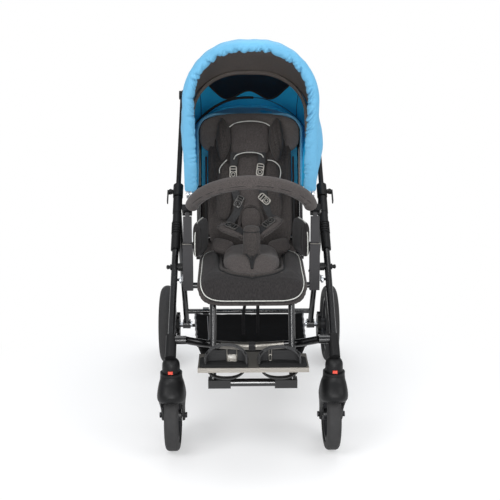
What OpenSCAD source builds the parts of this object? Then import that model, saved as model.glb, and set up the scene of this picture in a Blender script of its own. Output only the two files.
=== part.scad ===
// Special needs buggy: folding push chair with a padded seat, canopy and swivel front wheels.
// Millimetres. The floor is z = 0, the front of the buggy points to -Y and its right side to +X.

/* [Wheels] */
// Diameter of the front wheels
front_wheel_d = 205; // [195:1:212]
// Width of the front tyres
front_tyre_w = 40; // [36:1:42]
// Diameter of the rear wheels
rear_wheel_d = 287; // [275:1:300]
// Width of the rear tyres
rear_tyre_w = 48; // [42:1:52]
// Distance from front axle to rear axle
wheelbase = 690; // [670:1:710]
// Distance between the front wheel centres
front_track = 460; // [450:1:470]
// Clear space between the rear tyres and the caster forks when folded
pass_gap = 12; // [8:1:20]
// Distance of the front axle behind its swivel axis
caster_trail = 42; // [36:1:48]

/* [Frame] */
// Outer diameter of the main tubes
tube_d = 20; // [19:0.5:22]
// Angle of the main tubes above the floor
tube_angle = 42; // [40:0.5:44]
// Position of the seat pivot along the main tubes
seat_t = 285; // [280:1:300]
// Position of the rear leg hinge along the main tubes
leg_t = 530; // [515:1:540]
// Position of the elbows of the push handle along the main tubes
handle_t = 1000; // [980:1:1040]
// Length of the push handle behind its elbows
handle_back = 118; // [110:1:150]
// Slope of the push handle behind its elbows
handle_slope = 6; // [0:1:15]
// Upward travel of the push handle
handle_travel = 100; // [60:5:120]

/* [Seat] */
// Width of the seat cushion
seat_w = 313; // [290:1:320]
// Slope of the seat, front edge up
seat_rake = 4.6; // [2:0.2:8]
// Lean of the backrest from the seat square
back_lean = 15.4; // [10:0.2:18]
// Width of the back cushion
back_w = 284; // [260:1:300]
// Height of the back cushion
back_h = 430; // [400:5:450]
// Height of the grab bar hinge above the seat pivot
grab_h = 168; // [155:1:180]

/* [Footrest] */
// Width of the footplate
plate_w = 300; // [280:1:310]
// Depth of the footplate in front of its hinge
plate_l = 92; // [82:1:100]
// Height of the footplate surface
plate_z = 300; // [290:1:320]

/* [Canopy] */
// Half width of the canopy
canopy_hw = 206; // [198:1:208]
// Radius of the canopy from its pivot to the crown
canopy_r = 470; // [450:1:476]
// Half width of the flat part of the crown
crown_flat = 25; // [15:1:35]
// Angle of the front bow, measured up from straight back
front_bow_a = 100; // [94:1:104]
// Angle of the middle bow
mid_bow_a = 52; // [48:1:56]

/* [Fits] */
// Gap between faces that sit against each other
seat_gap = 0.3; // [0.25:0.05:0.5]
// Radial clearance of pins and telescopes
fit = 0.2; // [0.15:0.05:0.3]

/* [Hidden] */
$fn = 48;

// wheels and casters
fr = front_wheel_d / 2;
rr = rear_wheel_d / 2;
frame_x = front_track / 2;
caster_y = -caster_trail;
wheel_gap = 8;
crown_h = 33;
crown_top = front_wheel_d + wheel_gap + crown_h;
fork_in = front_tyre_w / 2 + 5;
fork_leg = 10;
fork_out = fork_in + fork_leg;
spindle_r = 8;
axle_r = 5;
bearing_r = 11;
bearing_w = 7;
front_tyre_t = 22;
front_hub_w = 2 * fork_in - 3;
rear_x = frame_x + fork_out + pass_gap + rear_tyre_w / 2;
rear_axle_r = 6;
rear_hub_in = rear_x - 34;
rear_hub_out = rear_x + 30;
rear_rim_r = rr - rear_tyre_w + 7;
ring_r = 44;
ring_w = 11;
notches = 12;

// main tubes: t runs up the tube from the caster socket
tube_r = tube_d / 2;
bore_r = tube_r - 1.7;
tube_z = crown_top + 66;
tube_seat = 8;
clamp_t = leg_t + 20;
clamp_h = 40;
tube_end = clamp_t + clamp_h - 2;
joint_t = leg_t - 183;
ear = 32;
function along(t) = [caster_y + t * cos(tube_angle), tube_z + t * sin(tube_angle)];
leg_p = along(leg_t) + ear * [sin(tube_angle), -cos(tube_angle)];
axle_p = [wheelbase, rr];
leg_v = axle_p - leg_p;
leg_len = norm(leg_v);
leg_u = leg_v / leg_len;
pin_r = 4;
stay_p = along(seat_t - 45);
hook_p = leg_p + 300 * leg_u;
bar_p = leg_p + (leg_len - 73) * leg_u;
bar_r = 9;
boss_r = 17;

// brake
brake_p = axle_p + 70 * [0.915, -0.404];
brake_a = atan2(-0.404, 0.915);
brake_turn = 35;
tooth_r = ring_r - 5;
tooth_a = brake_a - acos(tooth_r / 70);
tooth_v = [cos(tooth_a), sin(tooth_a)];

// push handle
handle_r = bore_r - 0.3;
handle_in = tube_end - handle_travel - 88;
bend_r = 60;
grip_end = 20;
grip_l = 2 * (frame_x - bend_r - grip_end);
grip_r = 14;
elbow_r = 15;
elbow_p = along(handle_t);
handle_room = 20;

// seat, in its own square: u runs back and w runs up from the seat pivot
seat_p = along(seat_t);
bolt_r = 5;
post_x = frame_x - 40;
post_w = 30;
post_d = 24;
insert_w = 25;
insert_d = 18;
pan_w = -43;
rail_r = 9;
rail_w = pan_w - 4 - seat_gap - rail_r;
rail_x = 135;
front_u = -128;
back_u = 218;
back_w0 = -3;
rear_u = back_u + 14;
cushion_t = 50;
cushion_top = pan_w + seat_gap + cushion_t;
insert_t = 14;
pommel_u = -45;
pommel_r = 26;
pommel_h = 108;
grab_r = post_x - 12;
grab_tilt = 33;
sleeve_r = 20;

// backrest, in its own square: z runs up the back
back_x = 166;
back_tube_r = 8;
back_len = 455;
back_pad_t = 38;
back_pad_y = -back_tube_r - seat_gap;
pad_face = back_pad_y - back_pad_t;
head_z = 372;
head_t = 28;

// canopy
canopy_u = 133;
canopy_w = 207;
skin = 2.5;
skin_gap = 0.5;
bow_r = 4.5;
rear_edge_a = 30;
hub_r = 14;
arm_v = 222;
canopy_y = seat_p[0] + canopy_u * cos(seat_rake) + canopy_w * sin(seat_rake);

// the push handle runs on behind its elbows far enough to pass the canopy
handle_len = max(handle_back, (canopy_y + canopy_r + handle_room - elbow_p[0]) / cos(handle_slope));
handle_p = elbow_p + handle_len * [cos(handle_slope), sin(handle_slope)];

// footrest
hanger_x = 112;
hanger_r = 9.5;
hang_top = seat_p + [
  front_u * cos(seat_rake) + rail_w * sin(seat_rake),
  rail_w * cos(seat_rake) - front_u * sin(seat_rake)
];
hang_low = [caster_y - 13, plate_z - 74];
hang_v = (hang_low - hang_top) / norm(hang_low - hang_top);
clamp_s = (hang_top[1] - plate_z + 3) / -hang_v[1];
clamp_p = hang_top + clamp_s * hang_v;
rod_p = clamp_p + [-24, 0];
plate_t = 5;
plate_back = 32;
strap_x = 72;
strap_r = 52;
strap_w = 38;

// places everything with the middle of its length on y = 0
front_end = rod_p[0] - plate_l - 6;
rear_end = max(wheelbase + rr, handle_p[0] + grip_r);
y_mid = (front_end + rear_end) / 2;

module place() {
  translate([0, -y_mid, 0]) children();
}

module both() {
  children();
  mirror([1, 0, 0]) children();
}

module side(s) {
  if (s > 0) children();
  else mirror([1, 0, 0]) children();
}

// a cylinder along X through p = [y, z]
module xcyl(p, r, x0, x1) {
  translate([x0, p[0], p[1]]) rotate([0, 90, 0]) cylinder(r = r, h = x1 - x0);
}

// a flat piece drawn in [y, z] and given a width along X
module yz(x0, w) {
  translate([x0, 0, 0]) rotate([90, 0, 90]) linear_extrude(w) children();
}

module rod(p, q, r) {
  v = q - p;
  translate(p) rotate([0, acos(v[2] / norm(v)), atan2(v[1], v[0])]) cylinder(r = r, h = norm(v));
}

module bar2d(p, q, w) {
  v = q - p;
  translate(p) rotate(atan2(v[1], v[0])) translate([0, -w / 2]) square([norm(v), w]);
}

module on_tube(t) {
  translate([frame_x, along(t)[0], along(t)[1]]) rotate([tube_angle - 90, 0, 0]) children();
}

module on_seat() {
  translate([0, seat_p[0], seat_p[1]]) rotate([-seat_rake, 0, 0]) children();
}

module on_back() {
  on_seat() translate([0, back_u, back_w0]) rotate([-back_lean, 0, 0]) children();
}

// closed cushion: rounded square outline, crowned face, sides drawn in between the corners
function sgn(v) = v < 0 ? -1 : 1;
function outline(a, hw, hl, n) = [
  hw * sgn(cos(a)) * pow(abs(cos(a)), 2 / n),
  hl * sgn(sin(a)) * pow(abs(sin(a)), 2 / n)
];
pad_steps = [[0.3, 1], [0.55, 0.985], [0.74, 0.94], [0.87, 0.84], [0.95, 0.68], [1, 0.42], [0.985, 0.16], [0.95, 0]];

module pad(hw, hl, t, n = 5, draw = 0.03, dip = function(p) 0, count = 48, shape = function(p) p, steps = pad_steps) {
  rings = len(steps);
  points = [
    for (k = [0:rings - 1]) for (i = [0:count - 1])
      let (
        a = 360 * i / count,
        o = outline(a, hw, hl, n) * steps[k][0] * (1 - draw * pow(cos(2 * a), 2)),
        h = t * steps[k][1]
      )
      shape([o[0], o[1], h - dip(o) * steps[k][1]])
  ];
  top = [0, 0, t - dip([0, 0])];
  low = [0, 0, 0];
  faces = concat(
    [for (i = [0:count - 1]) [rings * count, (i + 1) % count, i]],
    [for (k = [0:rings - 2]) for (i = [0:count - 1]) [k * count + i, k * count + (i + 1) % count, (k + 1) * count + i]],
    [for (k = [0:rings - 2]) for (i = [0:count - 1])
      [k * count + (i + 1) % count, (k + 1) * count + (i + 1) % count, (k + 1) * count + i]],
    [for (i = [0:count - 1]) [rings * count + 1, (rings - 1) * count + i, (rings - 1) * count + (i + 1) % count]]
  );
  polyhedron(concat(points, [top, low]), faces);
}

// main frame
module main_tubes() {
  color("#26262a") both() difference() {
    on_tube(tube_seat) cylinder(r = tube_r, h = tube_end - tube_seat);
    on_tube(tube_seat - 1) cylinder(r = bore_r, h = tube_end);
    xcyl(seat_p, bolt_r + fit, frame_x - 20, frame_x + 20);
  }
}

cross_p = along(39);
bow_p = [42, cross_p[1] - 40];
bow_v = bow_p - cross_p;
bow_sag = norm(bow_v);
bow_half = frame_x - 40;
bow_rad = (bow_half * bow_half + bow_sag * bow_sag) / (2 * bow_sag);
bow_a = 2 * asin(bow_half / bow_rad);

module front_cross_tube() {
  color("#26262a") difference() {
    union() {
      both() xcyl(cross_p, 12, frame_x - 42, frame_x);
      translate([0, cross_p[0], cross_p[1]]) rotate([atan2(bow_v[1], bow_v[0]), 0, 0])
        translate([0, bow_sag - bow_rad, 0]) rotate([0, 0, 90 - bow_a / 2])
          rotate_extrude(angle = bow_a) translate([bow_rad, 0]) circle(11);
    }
    both() on_tube(0) cylinder(r = tube_r + seat_gap, h = 90);
    both() caster_socket();
  }
}

module caster_socket() {
  on_tube(-4) cylinder(r = 15.5 + seat_gap, h = 56);
}

module caster_heads() {
  color("#2b2b2e") both() difference() {
    union() {
      translate([frame_x, caster_y, 0]) rotate_extrude() {
        translate([0, crown_top]) square([31, 8]);
        translate([0, crown_top + 7]) square([25, 22]);
        translate([0, crown_top + 28]) intersection() {
          circle(25);
          square(40);
        }
        translate([0, crown_top - 24]) square([spindle_r, 26]);
      }
      on_tube(-18) cylinder(r = 15.5, h = 70);
    }
    on_tube(tube_seat - seat_gap) cylinder(r = tube_r + fit, h = 90);
    translate([frame_x - 7, caster_y - 40, crown_top + 10]) cube([14, 32, 9]);
  }
}

module swivel_lock(s) {
  color("#e8452c") side(s)
    translate([frame_x - 6.5, caster_y - 27.5, crown_top + 10.5]) cube([13, 14, 8]);
}

module joint_sleeve() {
  rotate_extrude() {
    translate([0, 0]) square([14.5, 54]);
    translate([0, 54]) square([13.2, 84]);
    for (k = [0:4]) translate([0, 60 + 9 * k]) square([15.5, 5]);
    translate([0, 138]) square([14.5, 60]);
  }
}

module frame_joints() {
  color("#1d1d1f") both() difference() {
    union() {
      on_tube(joint_t) joint_sleeve();
      for (x = [-12.5, 8.3]) on_tube(leg_t) translate([x, 0, 0]) rotate([90, 0, 90]) linear_extrude(4.2) {
        translate([0, -17]) square([ear, 34]);
        translate([ear, 0]) circle(15);
      }
    }
    on_tube(0) cylinder(r = tube_r + fit, h = tube_end + 20);
    xcyl(leg_p, pin_r + fit, frame_x - 20, frame_x + 20);
  }
}

module hinge_pins() {
  color("#8d9096") both() {
    xcyl(leg_p, pin_r, frame_x - 14, frame_x + 14);
    xcyl(leg_p, 7, frame_x + 12.5 + seat_gap, frame_x + 16);
    xcyl(leg_p, 7, frame_x - 16, frame_x - 12.5 - seat_gap);
  }
}

lever_x = 24;

module handle_clamps() {
  color("#1d1d1f") both() difference() {
    union() {
      on_tube(clamp_t) cylinder(r = 16, h = clamp_h + 6);
      on_tube(clamp_t + 22) translate([0, -4, -6]) cube([lever_x, 8, 12]);
      on_tube(clamp_t + 22) translate([lever_x, 4, 0]) rotate([90, 0, 0]) cylinder(r = 6, h = 8);
      on_tube(clamp_t + 22) translate([lever_x, 7, 0]) rotate([90, 0, 0]) cylinder(r = 2.4, h = 14);
    }
    on_tube(0) cylinder(r = tube_r + fit, h = tube_end + seat_gap);
    on_tube(0) cylinder(r = handle_r + fit, h = clamp_t + 90);
  }
}

module clamp_lever(s) {
  color("#39393d") side(s) on_tube(clamp_t + 22) difference() {
    union() {
      for (y = [-7, 4.3]) translate([lever_x, y + 2.7, 0]) rotate([90, 0, 0]) cylinder(r = 6, h = 2.7);
      for (y = [-7, 4.3]) translate([lever_x, y, -6]) cube([9, 2.7, 8]);
      translate([lever_x + 6.5, -7, -44]) cube([3.5, 14, 46]);
    }
    translate([lever_x, 20, 0]) rotate([90, 0, 0]) cylinder(r = 2.4 + fit, h = 40);
  }
}

module pivot_bolts() {
  color("#2b2b2e") both() {
    xcyl(seat_p, bolt_r, post_x - post_w / 2 + 2, frame_x + 16);
    difference() {
      xcyl(seat_p, 12, post_x + post_w / 2 + seat_gap, frame_x);
      on_tube(0) cylinder(r = tube_r + fit, h = tube_end);
    }
    difference() {
      union() {
        xcyl(seat_p, 9, frame_x, frame_x + 16);
        translate([frame_x + 15, seat_p[0], seat_p[1]]) rotate([0, 90, 0]) linear_extrude(16) {
          circle(13);
          for (k = [0:5]) rotate(60 * k) translate([12, 0]) circle(5);
        }
      }
      on_tube(0) cylinder(r = tube_r + fit, h = tube_end);
    }
    difference() {
      xcyl(stay_p, pin_r, frame_x - 24, frame_x);
      on_tube(0) cylinder(r = tube_r + fit, h = tube_end);
    }
  }
}

stay_x = frame_x - 22;
stay_t = 5;

module fold_stay(s) {
  color("#b9bcc1") side(s) yz(stay_x, stay_t) difference() {
    union() {
      bar2d(stay_p, hook_p, 17);
      translate(stay_p) circle(11);
      translate(hook_p) circle(13);
    }
    translate(stay_p) circle(pin_r + fit);
    translate(hook_p) circle(pin_r + 0.6);
    translate(hook_p) polygon([[-3.2, 5], [4.6, 0], [4.6, -26], [-42, -26], [-42, -16]]);
  }
}

basket_x = 165;
basket_low = 188;
basket_slope = 26;
basket_front = bow_p[0] + basket_slope;
basket_back = bar_p[0] - 66;
basket_wall = 30;
basket_h = 72;
cloth = 3;

module basket() {
  color("#232326") union() {
    difference() {
      yz(-basket_x, 2 * basket_x)
        polygon([
          [basket_front, bow_p[1] - 4], [basket_front + basket_slope, basket_low],
          [basket_back - basket_wall, basket_low + 8], [basket_back, basket_low + basket_h]
        ]);
      yz(-basket_x + cloth, 2 * (basket_x - cloth)) polygon([
        [basket_front + cloth, bow_p[1] + 1], [basket_front + basket_slope + cloth, basket_low + cloth],
        [basket_back - basket_wall - cloth, basket_low + 8 + cloth], [basket_back - cloth, basket_low + basket_h + 6]
      ]);
    }
    difference() {
      union() {
        xcyl(bow_p, 14.5, -14, 14);
        translate([-14, bow_p[0], bow_p[1] - 8]) cube([28, 28, 6]);
      }
      xcyl(bow_p, 11 + 2 * seat_gap, -20, 20);
    }
  }
}

// casters and front wheels
module caster_fork(s) {
  color("#1f1f22") side(s) difference() {
    union() {
      translate([frame_x, caster_y, crown_top - crown_h - 2]) cylinder(r = 31, h = crown_h + 2 - seat_gap);
      yz(frame_x - fork_out, 2 * fork_out) intersection() {
        translate([0, fr]) difference() {
          circle(fr + wheel_gap + 6);
          circle(fr + wheel_gap);
        }
        translate([0, fr]) polygon([[0, 0], [200 * cos(58), 200 * sin(58)], [0, 260], [-200, 200], [-220, 200 * sin(36)]]);
      }
      for (x = [-fork_out, fork_in]) yz(frame_x + x, fork_leg) {
        translate([0, fr]) circle(15);
        polygon([[caster_y - 30, fr + 90], [caster_y - 14, crown_top - 14], [caster_y + 32, crown_top - 14],
          [15, fr], [-15, fr - 2]]);
      }
    }
    xcyl([0, fr], fr + wheel_gap - 1, frame_x - fork_in, frame_x + fork_in);
    translate([frame_x, caster_y, crown_top - 26]) cylinder(r = spindle_r + fit, h = 40);
    xcyl([0, fr], axle_r + fit, frame_x - 60, frame_x + 60);
  }
}

module bearing_ring(p, r0, x0) {
  difference() {
    xcyl(p, bearing_r, x0, x0 + bearing_w);
    xcyl(p, r0 + 0.05, x0 - 1, x0 + bearing_w + 1);
  }
}

module front_axle(s) {
  color("#a5a8ad") side(s) {
    xcyl([0, fr], axle_r, frame_x - fork_out - 3, frame_x + fork_out + 3);
    xcyl([0, fr], 8, frame_x - fork_out - 5, frame_x - fork_out - seat_gap);
    xcyl([0, fr], 8, frame_x + fork_out + seat_gap, frame_x + fork_out + 5);
    for (x = [-front_hub_w / 2 + 0.2, front_hub_w / 2 - 0.2 - bearing_w])
      bearing_ring([0, fr], axle_r, frame_x + x);
  }
}

module wheel_at(s, x, r) {
  side(s) translate([x, 0, r]) rotate([0, 90, 0]) children();
}

front_rim_r = fr - front_tyre_t;

module front_rim(s) {
  color("#222225") wheel_at(s, frame_x, fr) difference() {
    union() {
      rotate_extrude() translate([front_rim_r - 12, -front_tyre_w / 2 + 4]) square([12 - fit, front_tyre_w - 8]);
      cylinder(r = 17, h = front_hub_w, center = true);
      for (k = [0:5]) rotate(60 * k) linear_extrude(15, center = true)
        polygon([[12, -8], [front_rim_r - 8, -5], [front_rim_r - 8, 5], [12, 8]]);
    }
    cylinder(r = bearing_r - 2, h = 90, center = true);
    for (z = [-front_hub_w / 2 - 1, front_hub_w / 2 - bearing_w - 0.4])
      translate([0, 0, z]) cylinder(r = bearing_r + 0.1, h = bearing_w + 1.4);
  }
}

module front_tyre(s) {
  sh = front_tyre_t / 2;
  color("#151517") wheel_at(s, frame_x, fr) rotate_extrude() {
    translate([front_rim_r, -front_tyre_w / 2]) square([front_tyre_t - sh, front_tyre_w]);
    translate([front_rim_r, -front_tyre_w / 2 + sh]) square([front_tyre_t, front_tyre_w - 2 * sh]);
    for (z = [-1, 1]) translate([fr - sh, z * (front_tyre_w / 2 - sh)]) circle(sh);
  }
}

// rear frame, wheels and brake
module rear_legs() {
  color("#26262a") both() difference() {
    union() {
      rod([frame_x, leg_p[0] + 18 * leg_u[0], leg_p[1] + 18 * leg_u[1]],
        [frame_x, axle_p[0] - 8 * leg_u[0], axle_p[1] - 8 * leg_u[1]], tube_r);
      yz(frame_x - 8, 16) {
        translate(leg_p) circle(13);
        bar2d(leg_p, leg_p + 24 * leg_u, 18);
      }
      xcyl(axle_p, boss_r, frame_x - 14, frame_x + 14);
      yz(frame_x - 5, 10) {
        bar2d(axle_p, brake_p, 16);
        translate(brake_p) circle(12);
      }
      xcyl(hook_p, pin_r, frame_x - 25, frame_x);
      xcyl(hook_p, 8, frame_x - 15, frame_x);
    }
    xcyl(axle_p, rear_axle_r + fit, frame_x - 30, frame_x + 30);
    xcyl(leg_p, pin_r + fit, frame_x - 30, frame_x + 30);
    xcyl(brake_p, 6 + fit, frame_x - 30, frame_x + 30);
  }
}

module rear_cross_bar() {
  color("#2b2b2e") difference() {
    union() {
      xcyl(bar_p, bar_r, -frame_x, frame_x);
      both() xcyl(bar_p, 15, 146, 168);
    }
    both() rod([frame_x, leg_p[0], leg_p[1]], [frame_x, axle_p[0], axle_p[1]], tube_r + seat_gap);
  }
}

module rear_axles() {
  color("#a5a8ad") both() {
    xcyl(axle_p, rear_axle_r, frame_x - 18, rear_hub_out + 4);
    xcyl(axle_p, 10, frame_x - 20, frame_x - 14 - seat_gap);
    for (x = [rear_hub_in + 0.2, rear_hub_out - 0.2 - bearing_w]) bearing_ring(axle_p, rear_axle_r, x);
  }
}

module rear_wheel_at(s) {
  side(s) translate([rear_x, axle_p[0], axle_p[1]]) rotate([0, 90, 0]) children();
}

module rear_rim(s) {
  color("#222225") rear_wheel_at(s) difference() {
    union() {
      rotate_extrude() translate([rear_rim_r - 14, -15]) square([14, 30]);
      translate([0, 0, rear_hub_in - rear_x]) cylinder(r = 20, h = rear_hub_out - rear_hub_in);
      for (k = [0:5]) rotate(60 * k) linear_extrude(18, center = true)
        polygon([[14, -9], [rear_rim_r - 8, -6], [rear_rim_r - 8, 6], [14, 9]]);
    }
    cylinder(r = bearing_r - 1, h = 120, center = true);
    translate([0, 0, rear_hub_in - rear_x - 1]) cylinder(r = bearing_r + 0.1, h = bearing_w + 1.4);
    translate([0, 0, rear_hub_out - rear_x - bearing_w - 0.4]) cylinder(r = bearing_r + 0.1, h = bearing_w + 1.4);
  }
}

module rear_tyre(s) {
  color("#151517") rear_wheel_at(s) rotate_extrude() difference() {
    translate([rr - rear_tyre_w / 2, 0]) circle(rear_tyre_w / 2);
    translate([0, -15 - seat_gap]) square([rear_rim_r + fit, 30 + 2 * seat_gap]);
  }
}

module brake_ring(s) {
  color("#1f1f22") side(s) yz(rear_hub_in - seat_gap - ring_w, ring_w) translate(axle_p) difference() {
    circle(ring_r);
    circle(rear_axle_r + 2);
    for (k = [0:notches - 1]) rotate(tooth_a + 360 * k / notches) translate([ring_r - 8, -5.5]) square([12, 11]);
  }
}

module brake_pedal() {
  color("#2b2b2e") union() {
    xcyl(brake_p, 6, -rear_hub_in + 3, rear_hub_in - 3);
    both() yz(rear_hub_in - ring_w + 2, 7) translate(brake_p) rotate(brake_turn) translate(-brake_p) {
      translate(brake_p) circle(9);
      bar2d(brake_p, axle_p + 57 * tooth_v, 9);
      bar2d(axle_p + tooth_r * tooth_v, axle_p + 62 * tooth_v, 6);
    }
    for (x = [-120, 30]) yz(x, 90) translate(brake_p) {
      circle(8);
      rotate(16) translate([0, -3]) square([54, 6]);
      rotate(16) translate([54, 0]) circle(3);
    }
  }
}

// push handle
module on_handle(t) {
  translate([frame_x, elbow_p[0] + t * cos(handle_slope), elbow_p[1] + t * sin(handle_slope)])
    rotate([handle_slope - 90, 0, 0]) children();
}

module push_handle() {
  straight = handle_t - handle_in;
  color("#26262a") difference() {
    union() {
      both() on_tube(handle_in) cylinder(r = handle_r, h = straight);
      both() xcyl(elbow_p, elbow_r, frame_x - handle_r - 4, frame_x + handle_r + 4);
      both() on_handle(0) cylinder(r = handle_r, h = handle_len - bend_r);
      both() on_handle(handle_len - bend_r) translate([-bend_r, 0, 0]) rotate([90, 0, 0])
        rotate_extrude(angle = 90) translate([bend_r, 0]) circle(handle_r);
      xcyl(handle_p, handle_r, -frame_x + bend_r, frame_x - bend_r);
      both() xcyl(handle_p, handle_r + 0.8, frame_x - bend_r - 5, frame_x - bend_r + 5);
      both() on_handle(handle_len - bend_r - 5) cylinder(r = handle_r + 0.8, h = 10);
    }
    both() on_tube(handle_in - 2) cylinder(r = handle_r - 1.6, h = straight - 30);
  }
}

module handle_grip() {
  color("#1a1a1c") difference() {
    xcyl(handle_p, grip_r, -grip_l / 2, grip_l / 2);
    xcyl(handle_p, handle_r + fit, -grip_l, grip_l);
  }
}

// seat unit
module seat_frame() {
  color("#26262a") on_seat() {
    both() rod([rail_x, front_u, rail_w], [rail_x, rear_u, rail_w], rail_r);
    xcyl([front_u, rail_w], rail_r, -rail_x, rail_x);
    xcyl([rear_u, rail_w], rail_r, -back_x + 12, back_x - 12);
    xcyl([0, rail_w], rail_r, -post_x + post_w / 2 + seat_gap, post_x - post_w / 2 - seat_gap);
    both() yz(back_x - 18, 7) {
      translate([back_u, back_w0]) circle(13);
      bar2d([rear_u, rail_w], [back_u, back_w0], 22);
    }
    both() xcyl([back_u, back_w0], 5, back_x - 14, back_x + 9);
  }
}

module side_posts() {
  color("#2f2f33") on_seat() both() difference() {
    union() {
      translate([post_x - post_w / 2, -post_d / 2, rail_w - 14]) cube([post_w, post_d, 72 + 14 - rail_w]);
      xcyl([4, 62], 7, seat_w / 2 + 7 + seat_gap, post_x - 10);
    }
    translate([post_x - insert_w / 2 - fit, -insert_d / 2 - fit, 9])
      cube([insert_w + 2 * fit, insert_d + 2 * fit, 90]);
    xcyl([0, 0], bolt_r + fit, post_x - 40, post_x + 40);
  }
}

module grab_bar_posts() {
  color("#3a3a3e") on_seat() both() union() {
    translate([post_x - insert_w / 2, -insert_d / 2, 12]) cube([insert_w, insert_d, grab_h - 28]);
    yz(post_x - 6, 12) {
      translate([0, grab_h]) circle(9);
      translate([-9, grab_h - 18]) square([18, 18]);
    }
    xcyl([0, grab_h], pin_r, post_x - 13.5, post_x + 7.5);
  }
}

module seat_pan() {
  color("#1b1b1d") on_seat() translate([-148, front_u - 2, pan_w - 4]) cube([296, back_u - front_u - 12, 4]);
}

cushion_front = front_u - 76;
cushion_back = back_u - 24;
cushion_l = (cushion_back - cushion_front) / 2;
apron_y = front_u - 2 - cushion_front - cushion_l;
apron_r = 25;
apron_mid = 43;
apron_max = 75;
apron_thin = 25;
rolled_steps = concat(pad_steps, [[0.89, 0], [0.83, 0], [0.77, 0], [0.71, 0], [0.66, 0], [0.62, 0]]);

// the front of the seat cushion rolls down over the front cross tube
function apron(p) = p[1] >= apron_y ? p :
  let (
    run = apron_y - p[1],
    a = min(run / apron_mid * 180 / PI, apron_max),
    rest = run - a * PI / 180 * apron_mid,
    r = apron_r + p[2]
  )
  [p[0], apron_y - r * sin(a) - rest * cos(a), r * cos(a) - apron_r - rest * sin(a)];
function apron_dip(p) = apron_thin * pow(max(0, min(1, (apron_y + 30 - p[1]) / 76)), 1.5);

module seat_cushion() {
  color("#3a3634") on_seat() translate([0, cushion_front + cushion_l, pan_w + seat_gap])
    pad(seat_w / 2, cushion_l, cushion_t, 6, 0.02, function(p) apron_dip(p), 60, function(p) apron(p), rolled_steps);
}

module seat_insert() {
  color("#332f2e") on_seat() translate([0, 20, cushion_top + seat_gap]) pad(100, 118, insert_t, 4, 0.03);
}

module pommel() {
  color("#3f3b39") on_seat() translate([0, pommel_u, cushion_top + insert_t + 2 * seat_gap]) rotate_extrude() {
    square([pommel_r - 6, pommel_h]);
    translate([0, 6]) square([pommel_r, pommel_h - 18]);
    translate([pommel_r - 6, 6]) circle(6);
    translate([pommel_r - 12, pommel_h - 12]) circle(12);
  }
}

module hip_pads() {
  color("#3a3634") on_seat() both() translate([seat_w / 2 + 7, 76, 80]) rotate([0, -90, 0])
    pad(58, 98, 24, 4, 0.04);
}

module lap_pads() {
  color("#3a3634") on_seat() both() translate([pommel_r - 4.1, pommel_u + 16, cushion_top + 78])
    rotate([0, -20, 28]) translate([46, 0, 0]) pad(46, 21, 13, 4, 0.04, count = 32);
}

// footrest
module footrest_hanger() {
  color("#4a4a4e") union() {
    difference() {
      both() rod([hanger_x, hang_top[0], hang_top[1]], [hanger_x, hang_low[0], hang_low[1]], hanger_r);
      on_seat() xcyl([front_u, rail_w], rail_r + seat_gap, -200, 200);
    }
    xcyl(hang_low, 11, -hanger_x, hanger_x);
    both() translate([hanger_x - 50, hang_low[0] - 15, hang_low[1] - 12]) cube([63, 30, 24]);
  }
}

clamp_half = 15;

module hanger_line(r) {
  rod([hanger_x, hang_top[0], hang_top[1]], [hanger_x, hang_low[0], hang_low[1]], r);
}

module footplate_clamps() {
  color("#1d1d1f") union() {
    both() difference() {
      union() {
        rod([hanger_x, clamp_p[0] - clamp_half * hang_v[0], clamp_p[1] - clamp_half * hang_v[1]],
          [hanger_x, clamp_p[0] + clamp_half * hang_v[0], clamp_p[1] + clamp_half * hang_v[1]], 15);
        yz(hanger_x - 7, 14) {
          bar2d(rod_p, clamp_p, 16);
          translate(rod_p) circle(10);
        }
      }
      hanger_line(hanger_r + fit);
    }
    xcyl(rod_p, 5, -plate_w / 2 + 8, plate_w / 2 - 8);
  }
}

module footplate() {
  plate_lo = rod_p[1] + 5;
  color("#c9ccd0") difference() {
    union() {
      difference() {
        translate([-plate_w / 2, rod_p[0] - plate_l, plate_lo]) cube([plate_w, plate_l + 9, plate_t]);
        both() translate([hanger_x - 18, rod_p[0] - 16, plate_lo - 20]) cube([36, 60, 60]);
      }
      difference() {
        translate([-88, rod_p[0], plate_lo]) cube([176, plate_back, plate_t]);
        translate([-30, rod_p[0] + plate_back - 8, plate_lo - 5]) cube([60, 40, 40]);
      }
      translate([-plate_w / 2, rod_p[0] - plate_l - 6, plate_lo - 8]) cube([plate_w, 7, 8 + plate_t]);
      both() xcyl(rod_p, 9, hanger_x + 20, plate_w / 2);
      both() translate([hanger_x + 20, rod_p[0] - 9, rod_p[1]]) cube([plate_w / 2 - hanger_x - 20, 18, 8]);
      xcyl(rod_p, 9, -88, 88);
      translate([-88, rod_p[0] - 9, rod_p[1]]) cube([176, 18, 8]);
    }
    xcyl(rod_p, 5 + fit, -200, 200);
    both() for (k = [-1, 1]) translate([strap_x + k * (strap_r - 1.9) - 2.4, rod_p[0] - 36 - strap_w - 0.6, plate_lo - 1])
      cube([4.8, strap_w + 1.2, plate_t + 2]);
  }
}

module foot_straps() {
  plate_lo = rod_p[1] + 5;
  strap_y = rod_p[0] - 36;
  color("#161617") both()
    translate([strap_x, strap_y, plate_lo + 8]) rotate([90, 0, 0]) linear_extrude(strap_w) difference() {
      circle(strap_r);
      circle(strap_r - 3);
    }
}

// grab bar
module on_grab() {
  on_seat() translate([0, 0, grab_h]) rotate([-grab_tilt, 0, 0]) children();
}

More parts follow.
